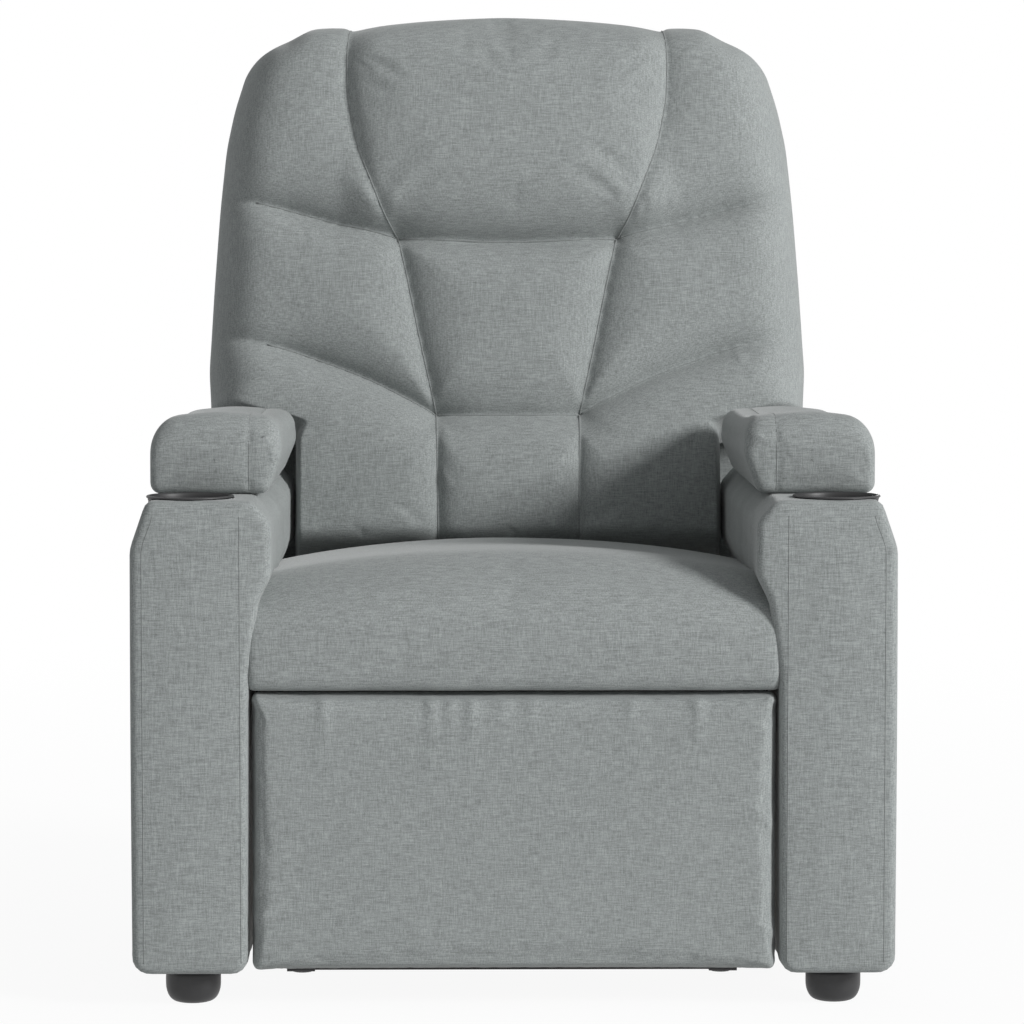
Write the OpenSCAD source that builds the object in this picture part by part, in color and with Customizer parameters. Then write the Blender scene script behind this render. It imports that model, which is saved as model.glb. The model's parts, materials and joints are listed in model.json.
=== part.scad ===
// Powered lift recliner chair. Millimetres, +Z up, the sitter faces -Y.
// The origin lies on the floor, in the middle of the footprint.

/* [Overall] */
// Distance from the arm fronts to the hinge of the back
hinge_depth = 655; // [650:1:680]
// Clear width between the arms
seat_w = 550; // [530:1:600]
// Height of the floor gap under the upholstery
floor_gap = 38; // [34:1:44]

/* [Arms] */
// Width of an arm
arm_w = 119; // [114:1:140]
// Height of the arm's flat top above the floor
arm_h = 528; // [510:1:545]
// Length of an arm
arm_len = 640; // [600:1:660]
// Depth of the flat ledge that holds the cup
ledge_d = 98; // [94:1:120]
// Width of the pad on the arm
pad_w = 137; // [125:1:145]
// Height of the pad on the arm
pad_h = 75; // [60:1:90]
// Length of the pad on the arm
pad_len = 424; // [380:1:440]
// How far the pad stands in from the arm's outer face
pad_inset = 16; // [10:1:22]
// Bulge of the padded inner side of the arm
arm_bulge = 26; // [15:1:30]

/* [Cup holders] */
// Outer radius of the rim
rim_r = 47; // [44:1:48]
// Inner radius of the cup at its mouth
cup_r = 41; // [36:1:42]
// Depth of the cup
cup_d = 68; // [50:1:80]
// Wall of the cup
cup_wall = 2; // [1.5:0.5:3]

/* [Feet] */
// Radius of a foot
foot_r = 29; // [24:1:32]
// Distance of the feet from the ends of the arm
foot_inset = 62; // [50:1:80]

/* [Seat] */
// Height of the seat cushion at its front corners
seat_h = 443; // [435:1:450]
// Height of the crease between the seat and the footrest panel
crease_h = 332; // [328:1:336]
// Crown of the seat cushion
seat_crown = 27; // [15:1:32]
// Length of the seat cushion
seat_len = 500; // [470:1:505]
// Gap between the seat cushion and an arm
seat_gap = 12; // [8:1:14]

/* [Footrest] */
// Height of the padded footrest panel
panel_h = 288; // [260:1:290]
// Thickness of the padding
panel_t = 40; // [30:1:42]
// Gap between the footrest panel and an arm
panel_gap = 4; // [3:1:8]
// Thickness of the footrest board
board_t = 14; // [12:1:16]

/* [Back] */
// Backward lean of the back from the vertical, in degrees
back_tilt = 15; // [12:1:16]
// Half of the back's greatest width
back_half_w = 352; // [340:1:360]
// Height of the shoulders above the hinge, along the back
back_h = 682; // [660:1:700]
// Thickness of the padding of the back
back_pad = 160; // [150:1:165]
// Gap between the lower back and the bulging sides of the arms
back_gap = 6; // [4:1:12]
// Height of the head pillow's lower edge above the hinge, along the back
head_v = 421; // [410:1:430]
// Height of the centre panel's lower edge above the hinge, along the back
centre_v = 209; // [200:1:215]
// Thickness of the rear cover
cover_t = 18; // [14:1:22]

/* [Mechanism] */
// Thickness of the side plates of the chassis
plate_t = 4; // [3:0.5:5]
// Length of the rear lift link
lift_len = 350; // [346:1:354]
// Downward slope of the rear lift link at rest, in degrees
lift_rest = 14; // [13:0.5:15]
// Thickness of the lift links
lift_t = 6; // [5:0.5:6]
// Radius of the link ends of the lift
lift_r = 17; // [15:1:18]
// Thickness of the footrest links
bar_t = 4; // [3:0.5:4]
// Radius of the ends of the footrest links
bar_r = 12; // [11:1:12.5]
// Length of the long footrest link
long_len = 210; // [206:1:214]
// Length of the upper footrest link
upper_len = 193; // [190:1:196]
// Distance of the parallel footrest link from the upper one
rocker_gap = 40; // [38:1:42]
// Radius of the small pivot pins
pin_r = 5; // [4:0.5:6]
// Radius of the lift pivot pins
lift_pin_r = 8; // [6:0.5:8]
// Radius of the lift crank
crank_len = 66; // [62:1:70]

/* [Drives] */
// Radius of a drive tube
drive_r = 15; // [14:0.5:17]
// Radius of a drive rod
rod_r = 8; // [7:0.5:9]
// Radius of a drive motor
motor_r = 22; // [20:1:24]
// Length of a drive motor
motor_len = 96; // [80:1:110]
// Radius of the pins of the drives
eye_pin_r = 5; // [4:0.5:6]

/* [Hidden] */
$fn = 48;

// Clearances
seat_fit = 0.3;        // between pieces that rest on each other
run_fit = 0.06;        // radial, between a pin and the bore that turns on it
link_gap = 2;          // sideways, between neighbouring links
soft_fit = 0.99;       // scale that keeps neighbouring back cushions apart
control_slack = 0.8;   // radial, where the control links meet the chassis
rear_slack = 0.5;      // radial, where the rear footrest links meet the upper ones
rocker_slack = 0.2;    // radial, where the parallel links meet the footrest
eye_slack = 4.2;       // radial, between a drive rod's eye and its pin

// Outline of the chair
stile_t = 34;
cover_inset = 6;
back_reach = (back_h - cover_inset) * sin(back_tilt) + (stile_t / 2 + seat_fit + cover_t) * cos(back_tilt);
front_y = -(hinge_depth + back_reach) / 2;
arm_in = seat_w / 2;
arm_out = arm_in + arm_w;
arm_mid = arm_in + arm_w / 2;
bulge_x = arm_in - arm_bulge;
pad_y = front_y + ledge_d;
pad_mid = arm_out - pad_inset - pad_w / 2;

// Sideways places of the flat steel parts, from the arm inwards
plate_x = 240;
control_x = plate_x - link_gap - lift_t;
bracket_x = control_x - link_gap - lift_t;
lift_x = bracket_x - link_gap - lift_t;
long_x = plate_x - link_gap - bar_t;
upper_x = long_x - link_gap - bar_t;
rear_x = upper_x - link_gap - bar_t;

// Pivots in the side view, as [y, z]
function at(p, len, ang) = p + len * [cos(ang), sin(ang)];
lift_base = [front_y + 300, 205];
lift_top = at(lift_base, lift_len, -lift_rest);
control_base = lift_base + [-58.3, -14.3];
control_top = lift_base + [187.4, -91.9];
crank_top = at(lift_base, crank_len, 68);
lift_drive = [front_y + 600, 130];
long_base = [front_y + 107, 283];
long_rest = -75;
long_top = at(long_base, long_len, long_rest);
rocker_dir = -109;
rocker_low = at(long_top, rocker_gap, rocker_dir);
upper_rest = 112;
upper_top = at(long_top, upper_len, upper_rest);
rocker_top = at(upper_top, rocker_gap, rocker_dir);
rear_base = [front_y + 130, 336.5];
rear_top = at(at(long_top, 24, upper_rest), 31.5, upper_rest - 90);
back_hinge = [front_y + hinge_depth, 350];
back_crank_dir = -84;
back_crank = at(back_hinge, 85, back_crank_dir);
recline_drive = [front_y + 235, 290];

// Rest place of a rod's eye, which lies off its pin so that it keeps round the pin all the way
function eye_rest(p, q, more, turn) = at(p, norm(q - p) + more, atan2(q.y - p.y, q.x - p.x) + turn);
lift_eye = eye_rest(lift_drive, crank_top, 3, -0.4);
recline_eye = eye_rest(recline_drive, back_crank, -0.8, -0.5);

// ---------------------------------------------------------------- helpers

// A point and its mirror image stand for the left and the right side
module both() {
    children();
    mirror([1, 0, 0]) children();
}

// Extrudes a side-view profile, drawn in y and z, from x0 over a width t
module slab(x0, t) {
    translate([x0, 0, 0]) rotate([90, 0, 90]) linear_extrude(t) children();
}

// A round bar along x at the side-view point p
module pin(p, x0, x1, r) {
    translate([x0, p.x, p.y]) rotate([0, 90, 0]) cylinder(r = r, h = x1 - x0);
}

// Side-view outline of a straight link with round eyes and a slimmer shank
module bar(p, q, r) {
    d = q - p;
    half = 0.84 * r;
    translate(p) circle(r);
    translate(q) circle(r);
    translate(p) rotate(atan2(d.y, d.x)) translate([0, -half]) square([norm(d), 2 * half]);
}

module hole(p, r) {
    translate(p) circle(r);
}

// Corner points of a polygon, each replaced with an arc of its own radius
function fillet(pts, rads, steps = 5) = [
    for (i = [0:len(pts) - 1])
        let (n = len(pts), p = pts[i], a = pts[(i + n - 1) % n] - p, b = pts[(i + 1) % n] - p,
             ua = a / norm(a), ub = b / norm(b), half = acos(ua * ub) / 2,
             r = min(rads[i], 0.49 * min(norm(a), norm(b)) * tan(half)), m = (ua + ub) / norm(ua + ub),
             c = p + m * r / sin(half), from = p + ua * r / tan(half) - c, to = p + ub * r / tan(half) - c,
             a0 = atan2(from.y, from.x), turn = atan2(to.y, to.x) - a0,
             sweep = turn > 180 ? turn - 360 : turn < -180 ? turn + 360 : turn)
            for (k = [0:steps]) c + r * [cos(a0 + sweep * k / steps), sin(a0 + sweep * k / steps)]];

// The same radius for every corner
function equal(pts, r) = [for (p = pts) r];

function mirrored(pts) = [for (i = [len(pts) - 1:-1:0]) [-pts[i].x, pts[i].y]];

// Closed skin over rings of points that turn the same way, with a point that closes each end
module loft(rings, low, high) {
    n = len(rings[0]);
    m = len(rings);
    walls = [for (k = [0:m - 2]) for (i = [0:n - 1])
        let (j = (i + 1) % n, a = k * n + i, b = k * n + j, c = a + n, d = b + n)
            each [[a, d, b], [a, c, d]]];
    ends = [for (i = [0:n - 1]) let (j = (i + 1) % n)
        each [[m * n, i, j], [m * n + 1, (m - 1) * n + j, (m - 1) * n + i]]];
    polyhedron(concat([for (r = rings) each r], [low, high]), concat(walls, ends));
}

// Closed outline walked at n even steps from its first point
function evenly(pts, n) = let (m = len(pts),
    run = [for (i = 0, s = 0; i <= m; s = s + norm(pts[(i + 1) % m] - pts[i % m]), i = i + 1) s])
    [for (k = [0:n - 1]) let (s = run[m] * k / n, i = max([for (j = [0:m - 1]) if (run[j] <= s) j]),
        t = (s - run[i]) / (run[i + 1] - run[i])) pts[i] * (1 - t) + pts[(i + 1) % m] * t];

// Eases the corners of a closed outline: every point moves towards the middle of its neighbours
function eased(pts, times = 1) = times == 0 ? pts : eased([for (i = [0:len(pts) - 1]) let (n = len(pts))
    (pts[(i + n - 1) % n] + 2 * pts[i] + pts[(i + 1) % n]) / 4], times - 1);

// Soft form over an outline: each level is [scale about the centre, height], and the smaller
// the scale, the rounder the ring
module pillow(outline, centre, levels) {
    mean = norm(outline[0] - centre) / 2 + norm(outline[floor(len(outline) / 4)] - centre) / 2;
    loft([for (lv = levels) [for (p = outline) let (d = p - centre)
        [each (centre + d * lv.x * pow(mean / norm(d), 1 - lv.x)), lv.y]]],
        [each centre, levels[0].y], [each centre, levels[len(levels) - 1].y + 0.4]);
}

// Levels of a pillow: straight sides up to h - edge, then a dome that rises to h + crown
function domed(h, edge, crown, full = 1, foot = 0.985, count = 7) = concat(
    [[full * foot, 0], [full, edge * 0.5], [full, h - edge]],
    [for (k = [1:count]) let (a = 88 * k / count)
        [full * pow(cos(a), 0.7), h - edge + (edge + crown) * pow(sin(a), 0.8)]]);

// Places a form drawn across and up the back, with its thickness towards the sitter
module on_back() {
    translate([0, back_hinge.x, back_hinge.y]) rotate([90 - back_tilt, 0, 0]) children();
}

// ------------------------------------------------------------------- base

runner_w = 30;
runner_h = 26;
glide_h = 8;
glide_in = 50;
runner_x = bracket_x - 12;
runner_y0 = lift_base.x - 118;
runner_y1 = lift_drive.x + 140;
rail_w = 40;
front_rail_y = runner_y0 + 12;

module base_runners() {
    color("dimgray") both()
        slab(runner_x, runner_w)
            polygon(fillet([[runner_y0, glide_h], [runner_y1, glide_h], [runner_y1, glide_h + runner_h],
                [runner_y0, glide_h + runner_h]], [3, 3, 8, 8]));
}

// A cross rail of folded steel, open below
module cross_rail(y0) {
    difference() {
        translate([-runner_x, y0, glide_h]) cube([2 * runner_x, rail_w, runner_h]);
        translate([-runner_x - 1, y0 + 3, glide_h - 1]) cube([2 * runner_x + 2, rail_w - 6, runner_h - 2]);
    }
}

module base_front_rail() {
    color("dimgray") cross_rail(front_rail_y);
}

drive_x = -60;
ear_t = 5;
ear_gap = 20;

// Two lugs across a drive's pin, drawn as one side-view profile
module lugs(x) {
    for (s = [-1, 1])
        slab(x + s * (ear_gap + ear_t) / 2 - ear_t / 2, ear_t) children();
}

module base_motor_rail() {
    top = glide_h + runner_h;
    color("dimgray") {
        cross_rail(lift_drive.x - rail_w / 2);
        difference() {
            lugs(drive_x) {
                hole(lift_drive, 14);
                polygon([[lift_drive.x - 14, lift_drive.y], [lift_drive.x - rail_w / 2, top],
                    [lift_drive.x + rail_w / 2, top], [lift_drive.x + 14, lift_drive.y]]);
            }
            pin(lift_drive, drive_x - 20, drive_x + 20, eye_pin_r);
        }
    }
}

module base_brackets() {
    foot = glide_h + runner_h;
    color("dimgray") both()
        slab(bracket_x, lift_t) difference() {
            union() {
                hole(lift_base, lift_r + 3);
                hole(control_base, lift_r + 3);
                polygon([[lift_base.x + 18, lift_base.y - 8], [lift_base.x + 62, foot],
                    [control_base.x - 30, foot], [control_base.x - 19, control_base.y - 6],
                    [control_base.x - 5, control_base.y + 19], [lift_base.x - 5, lift_base.y + 19]]);
            }
            hole(lift_base, lift_pin_r);
            hole(control_base, lift_pin_r);
            polygon(fillet([[lift_base.x + 8, lift_base.y - 60], [lift_base.x + 28, foot + 26],
                [control_base.x + 2, foot + 26], [control_base.x + 8, lift_base.y - 60]], [9, 9, 9, 9]));
        }
}

module base_glides() {
    color("black") both()
        for (y = [runner_y0 + glide_in, runner_y1 - 30])
            translate([runner_x + runner_w / 2, y, 0]) rotate_extrude()
                polygon([[0, 0], [11, 0], [13, 2], [13, glide_h], [0, glide_h]]);
}

// Pins that sit fast in the brackets and carry the links
module base_pins() {
    color("silver") {
        both() {
            pin(lift_base, lift_x, bracket_x + lift_t, lift_pin_r);
            pin(control_base, bracket_x, control_x + lift_t, lift_pin_r);
        }
        pin(lift_drive, drive_x - ear_gap / 2 - ear_t, drive_x + ear_gap / 2 + ear_t, eye_pin_r);
    }
}

// ------------------------------------------------------------------- lift

torque_r = 16;
torque_wall = 3;
crank_w = 15;

module lift_links() {
    color("gray") both()
        slab(lift_x, lift_t) difference() {
            bar(lift_base, lift_top, lift_r);
            hole(lift_base, lift_pin_r + run_fit);
            hole(lift_top, lift_pin_r + run_fit);
        }
}

module lift_torque_tube() {
    color("gray") difference() {
        union() {
            pin(lift_base, -lift_x, lift_x, torque_r);
            lugs(drive_x) bar(lift_base, crank_top, crank_w);
            pin(crank_top, drive_x - ear_gap / 2 - ear_t, drive_x + ear_gap / 2 + ear_t, eye_pin_r);
        }
        pin(lift_base, -lift_x - 1, lift_x + 1, torque_r - torque_wall);
    }
}

module control_links() {
    color("gray") both()
        slab(control_x, lift_t) difference() {
            bar(control_base, control_top, lift_r - 3);
            hole(control_base, lift_pin_r + run_fit);
            hole(control_top, lift_pin_r + control_slack);
        }
}

// ----------------------------------------------------------------- drives

gear_start = 20;
gear_half = 22;
tube_start = 62;
rod_grip = 100;
eye_r = eye_pin_r + eye_slack + 6;
collar = 16;           // from a rod's eye to the end of its tube

// Lays a form that is drawn along +X in the side view between two pivots
module along(p, q, x) {
    d = q - p;
    translate([x, p.x, p.y]) rotate([90, 0, 90]) rotate([0, 0, atan2(d.y, d.x)]) children();
}

// Gearbox with its rear eye and, turned by roll about the tube, the motor beside it
module drive_motor(p, q, x, roll) {
    tongue = ear_gap - 1;
    off = motor_r + gear_half;
    along(p, q, x) difference() {
        union() {
            cylinder(r = 13, h = tongue, center = true);
            translate([0, -10, -tongue / 2]) cube([gear_start + 2, 20, tongue]);
            translate([gear_start, -gear_half, -gear_half])
                cube([tube_start - gear_start, 2 * gear_half, 2 * gear_half]);
            rotate([roll, 0, 0]) {
                translate([gear_start, off - motor_r, -motor_r])
                    cube([tube_start - gear_start, 2 * motor_r, 2 * motor_r]);
                translate([tube_start, off, 0]) rotate([0, 90, 0]) rotate_extrude()
                    polygon([[0, 0], [motor_r, 0], [motor_r, motor_len - 8], [motor_r - 5, motor_len],
                        [0, motor_len]]);
            }
        }
        cylinder(r = eye_pin_r + run_fit, h = 60, center = true);
    }
}

// The tube ends clear of the eye, also when the rod has drawn in by travel
module drive_tube(p, q, x, travel = 0) {
    reach = norm(q - p) - travel - eye_r - collar;
    along(p, q, x) translate([tube_start, 0, 0]) rotate([0, 90, 0]) difference() {
        union() {
            cylinder(r = drive_r, h = reach - tube_start);
            translate([0, 0, reach - tube_start - 14]) cylinder(r = drive_r + 2, h = 14);
        }
        translate([0, 0, 4]) cylinder(r = rod_r + run_fit, h = reach);
    }
}

// The rod reaches rod_grip into its tube, past any length that it has drawn out
module drive_rod(p, q, x, travel = 0) {
    full = norm(q - p);
    inside = eye_r + collar + travel + rod_grip;
    along(p, q, x) difference() {
        union() {
            translate([full - inside, 0, 0]) rotate([0, 90, 0]) cylinder(r = rod_r, h = inside - eye_r + 2);
            translate([full - eye_r - 10, 0, 0]) rotate([0, 90, 0]) cylinder(r = rod_r + 1, h = 11);
            translate([full, 0, 0]) cylinder(r = eye_r, h = ear_gap - 1, center = true);
        }
        translate([full, 0, 0]) cylinder(r = eye_pin_r + eye_slack, h = 60, center = true);
    }
}

module lift_motor() {
    color("#2b2b2b") drive_motor(lift_drive, lift_eye, drive_x, 0);
}
module lift_drive_tube() {
    color("#444444") drive_tube(lift_drive, lift_eye, drive_x);
}
module lift_rod() {
    color("silver") drive_rod(lift_drive, lift_eye, drive_x);
}

recline_x = 70;
recline_travel = 68;
module recline_motor() {
    color("#2b2b2b") drive_motor(recline_drive, recline_eye, recline_x, 90);
}
module recline_drive_tube() {
    color("#444444") drive_tube(recline_drive, recline_eye, recline_x, recline_travel);
}
module recline_rod() {
    color("silver") drive_rod(recline_drive, recline_eye, recline_x, recline_travel);
}

// ---------------------------------------------------------------- chassis

tube_r = 14;
flange_t = 4;
bolt_circle = tube_r + 6;
bolt_r = 3;
front_tube = [front_y + 195, 316];
rear_tube = [front_y + 590, 322];
rail_top = 362;

module side_plates() {
    y0 = seat_front_y + 1;
    y1 = back_hinge.x + 26;
    color("dimgray") both()
        slab(plate_x, plate_t) difference() {
            polygon(fillet([[y0, rail_top - 1], [y0, long_base.y - 18], [long_base.x + 24, long_base.y - 22],
                [front_tube.x + 40, front_tube.y - 32], [control_top.x - 50, front_tube.y - 40],
                [control_top.x - 26, control_top.y - 20], [control_top.x + 26, control_top.y - 20],
                [control_top.x + 46, control_top.y + 90], [lift_top.x - 34, lift_top.y + 90],
                [lift_top.x - 26, lift_top.y - 22], [lift_top.x + 26, lift_top.y - 22],
                [y1, back_hinge.y - 40], [y1, back_hinge.y + 24], [back_hinge.x - 40, rail_top - 1]],
                [6, 10, 20, 20, 20, 20, 20, 20, 20, 20, 20, 12, 22, 20]));
            for (p = [lift_top, control_top])
                hole(p, lift_pin_r);
            for (p = [long_base, rear_base, back_hinge])
                hole(p, pin_r);
            for (p = [front_tube, rear_tube])
                hole(p, tube_r);
            for (k = [0:2])
                hole([control_top.x - 60 + 70 * k, 268], 16);
        }
}

module chassis_pins() {
    color("silver") both() {
        pin(lift_top, lift_x, plate_x + plate_t, lift_pin_r);
        pin(control_top, control_x, plate_x + plate_t, lift_pin_r);
        pin(long_base, long_x, plate_x + plate_t, pin_r);
        pin(rear_base, rear_x, plate_x + plate_t, pin_r);
        pin(back_hinge, plate_x, hinge_x + hinge_t, pin_r);
    }
}

// Cross tube with a flange at each end that bolts to the arm
module cross_tube(p) {
    difference() {
        union() {
            pin(p, -arm_in, arm_in, tube_r);
            both() pin(p, arm_in - flange_t, arm_in, tube_r + 12);
        }
        pin(p, -arm_in - 1, arm_in + 1, tube_r - 2);
        both() for (a = [0:90:270])
            pin(at(p, bolt_circle, a + 45), arm_in - flange_t - 1, arm_in + 1, bolt_r);
    }
}

module chassis_front_tube() {
    color("dimgray") {
        cross_tube(front_tube);
        lugs(recline_x) difference() {
            bar(recline_drive, front_tube, 12);
            hole(recline_drive, eye_pin_r);
            hole(front_tube, tube_r);
        }
        pin(recline_drive, recline_x - ear_gap / 2 - ear_t, recline_x + ear_gap / 2 + ear_t, eye_pin_r);
    }
}

module chassis_rear_tube() {
    color("dimgray") cross_tube(rear_tube);
}

seat_rail_w = 24;
seat_front_y = front_y + 78;
seat_rear_y = front_y + 470;

module seat_rail(y0) {
    translate([-plate_x, y0, rail_top - 22]) cube([2 * plate_x, seat_rail_w, 18]);
}
module seat_front_rail() {
    color("burlywood") seat_rail(seat_front_y);
}
module seat_rear_rail() {
    color("burlywood") seat_rail(seat_rear_y);
}

wire = 3.6;
// Flat outline of a zigzag spring that runs along +Y
function zigzag(len, pitch, half, n = 10) = let (m = len / pitch * n,
    c = [for (k = [0:m]) [half * sin(360 * k / n), len * k / m]],
    s = [for (k = [0:m]) let (d = c[min(k + 1, m)] - c[max(k - 1, 0)]) [d.y, -d.x] / norm(d) * wire / 2])
    concat([for (k = [0:m]) c[k] + s[k]], [for (k = [m:-1:0]) c[k] - s[k]]);

module seat_springs() {
    color("gray") for (k = [-2:2])
        translate([k * 90, seat_front_y + 2, rail_top - 4])
            linear_extrude(wire) polygon(zigzag(seat_rear_y - seat_front_y + seat_rail_w - 4, 50, 20));
}

seat_base = rail_top - 4 + wire + seat_fit;
seat_half = arm_in - seat_gap;
seat_fall = 19;
lip_y = seat_front_y - 1;

// Side-view outline of the seat at x, drawn in by inset at its sides, with the lip over the front rail
function seat_ring(x, inset) = let (y0 = front_y + 2 + inset, y1 = front_y + seat_len - inset,
    top = seat_h - inset + seat_crown * (1 - pow(abs(x) / seat_half, 2.4)), low = crease_h + inset,
    base = seat_base + inset)
    [for (p = fillet([[y1 - 3, top - seat_fall], [y0 + 56, top], [y0 - 1, top - 34], [y0 - 3, low + 32],
        [y0 + 10, low], [lip_y, low], [lip_y, base], [y1, base]], [24, 80, 40, 30, 14, 8, 3, 12], 4))
        [x, p.x, p.y]];

module seat_cushion() {
    // distance from the side and how far the section draws in there
    edges = [[0, 16], [1.5, 9], [6, 3], [16, 0], [50, 0], [105, 0], [180, 0]];
    left = [for (e = edges) [e.x - seat_half, e.y]];
    right = [for (k = [len(edges) - 1:-1:0]) [seat_half - edges[k].x, edges[k].y]];
    mid = [front_y + seat_len / 3, (seat_base + seat_h) / 2];
    color("lightslategray") loft([for (e = concat(left, right)) seat_ring(e.x, e.y)],
        [-seat_half, each mid], [seat_half, each mid]);
}

// ------------------------------------------------------------------- arms

// Front-view outline of an arm on the right side, drawn in x and z
function arm_profile() = fillet([
    [arm_in, floor_gap], [arm_out, floor_gap], [arm_out, arm_h - 52], [arm_out - 15, arm_h],
    [bulge_x + 18, arm_h], [bulge_x, arm_h - 22], [bulge_x, arm_h - 62], [arm_in, arm_h - 96]],
    [12, 14, 30, 8, 16, 18, 24, 20]);

front_t = 7;
border = 12;

// Outline of the arm's front face inside its seams
function border_profile() = fillet([
    [arm_in + 7, floor_gap + 8], [arm_out - border, floor_gap + 8], [arm_out - border, arm_h - 50],
    [arm_out - border - 7, arm_h - 12], [arm_in + 7, arm_h - 12]], [10, 10, 24, 8, 10]);

cup_y = front_y + 52;
pocket_y = front_y + 290;
pocket_w = 170;

module arm_body() {
    difference() {
        translate([0, front_y + arm_len, 0]) rotate([90, 0, 0]) linear_extrude(arm_len) polygon(arm_profile());
        // rounded front corners in plan
        translate([0, 0, floor_gap - 1]) linear_extrude(arm_h) difference() {
            translate([arm_in - 80, front_y - 1]) square([arm_w + 100, 21]);
            polygon(fillet([[arm_in, front_y], [arm_out, front_y], [arm_out, front_y + 60],
                [arm_in, front_y + 60]], [10, 14, 1, 1], 6));
        }
        // seat of the front panel
        translate([0, front_y + front_t, 0]) rotate([90, 0, 0]) linear_extrude(front_t + 1)
            polygon(border_profile());
        // well of the cup holder
        translate([arm_mid, cup_y, arm_h - cup_d - cup_wall]) cylinder(r = cup_r + cup_wall, h = cup_d + 20);
        // bolt holes of the chassis flanges
        for (p = [front_tube, rear_tube])
            for (a = [0:90:270])
                pin(at(p, bolt_circle, a + 45), arm_in - 1, arm_in + 25, bolt_r);
    }
}
module arm_right() {
    color("lightslategray") difference() {
        arm_body();
        pouch(pocket_d);
        translate([set_x - seat_fit, set_y - 6, pocket_z + pocket_h - 1]) cube([30, set_w + 12, 60]);
    }
}
module arm_left() {
    color("lightslategray") mirror([1, 0, 0]) arm_body();
}

module arm_front() {
    edge = border_profile();
    centre = [arm_mid, (arm_h + floor_gap) / 2];
    translate([0, front_y + front_t, 0]) rotate([90, 0, 0])
        pillow(edge, centre, [[0.998, 0.1], [0.998, front_t - 5], [0.985, front_t - 1], [0.94, front_t + 1.5],
            [0.7, front_t + 2.5]]);
}
module arm_front_right() {
    color("slategray") arm_front();
}
module arm_front_left() {
    color("slategray") mirror([1, 0, 0]) arm_front();
}

module arm_pad() {
    x0 = pad_mid - pad_w / 2;
    x1 = pad_mid + pad_w / 2;
    outline = eased(evenly([[pad_mid, pad_y], [x1, pad_y], [x1, pad_y + pad_len], [x0, pad_y + pad_len],
        [x0, pad_y]], 36), 2);
    translate([0, 0, arm_h + seat_fit])
        pillow(outline, [pad_mid, pad_y + pad_len / 2], domed(pad_h - 14, 22, 14, 1, 0.95));
}
module arm_pad_right() {
    color("lightslategray") arm_pad();
}
module arm_pad_left() {
    color("lightslategray") mirror([1, 0, 0]) arm_pad();
}

module cup_holder() {
    translate([arm_mid, cup_y, arm_h - cup_d]) rotate_extrude()
        polygon([[0, -cup_wall], [cup_r - 6, -cup_wall], [cup_r - 1, 3], [cup_r + cup_wall - 0.2, 20],
            [cup_r + cup_wall - 0.2, cup_d + seat_fit], [rim_r, cup_d + seat_fit], [rim_r, cup_d + 1.5],
            [rim_r - 1.5, cup_d + 3], [cup_r + 1, cup_d + 3], [cup_r, cup_d + 2], [cup_r - 4, 2],
            [cup_r - 8, 0], [0, 0]]);
}
module cup_holder_right() {
    color("#202020") cup_holder();
}
module cup_holder_left() {
    color("#202020") mirror([1, 0, 0]) cup_holder();
}

module feet() {
    color("#303030") both()
        for (y = [front_y + foot_inset, front_y + arm_len - foot_inset])
            translate([arm_mid, y, 0]) rotate_extrude()
                polygon([[0, 0], [foot_r - 14, 0], [foot_r - 7, 2], [foot_r - 3, 8], [foot_r, 14],
                    [foot_r, floor_gap], [0, floor_gap]]);
}

// ---------------------------------------------------------- hand control

pocket_z = 262;
pocket_h = 200;
pocket_d = 22;
pocket_sunk = 8;
cloth_t = 2.5;
set_w = 46;
set_t = 13;
set_h = 148;
set_y = pocket_y + 24;
button_r = 8;
button_lift = 2;
button_row = 24;
button_col = 21;
set_x = arm_out - pocket_sunk + cloth_t + seat_fit;
button_x = set_x + set_t;

// The pouch lies partly in the padding of the arm
module pouch(depth) {
    slab(arm_out - pocket_sunk, depth)
        polygon(fillet([[pocket_y, pocket_z], [pocket_y + pocket_w, pocket_z],
            [pocket_y + pocket_w, pocket_z + pocket_h], [pocket_y, pocket_z + pocket_h]], [16, 16, 2, 2]));
}

module side_pocket() {
    color("slategray") difference() {
        pouch(pocket_d);
        translate([arm_out - pocket_sunk + cloth_t, pocket_y + cloth_t, pocket_z + cloth_t])
            cube([pocket_d - 2 * cloth_t, pocket_w - 2 * cloth_t, pocket_h]);
    }
}

set_z = pocket_z + cloth_t + 90;

// Middle of a button: two in the front column, then two in the rear one
function button_at(k) = [set_y + set_w / 2 + button_col * (floor(k / 2) - 0.5),
    set_z + set_h - 24 - button_row * (k % 2)];

module handset() {
    color("#262626") difference() {
        slab(set_x, set_t)
            polygon(fillet([[set_y, pocket_z + cloth_t + seat_fit], [set_y + set_w, pocket_z + cloth_t + seat_fit],
                [set_y + set_w + 3, set_z + set_h - 14], [set_y + set_w - 6, set_z + set_h],
                [set_y + 6, set_z + set_h], [set_y - 3, set_z + set_h - 14]], [8, 8, 12, 10, 10, 12]));
        for (k = [0:3])
            pin(button_at(k), button_x - 8, button_x + 1, button_r + 0.3);
    }
}

// A button with a domed face, which stands off the floor of its well by the stroke of its spring
module button(k) {
    p = button_at(k);
    translate([button_x - 5, p.x, p.y]) rotate([0, 90, 0])
        rotate_extrude() polygon([[0, 0], [button_r, 0], [button_r, 5 + button_lift - 1],
            [button_r - 1, 5 + button_lift], [0, 5 + button_lift + 0.5]]);
}
module button_up() {
    color("silver") button(0);
}
module button_down() {
    color("silver") button(1);
}
module button_recline() {
    color("silver") button(2);
}
module button_upright() {
    color("silver") button(3);
}

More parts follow.
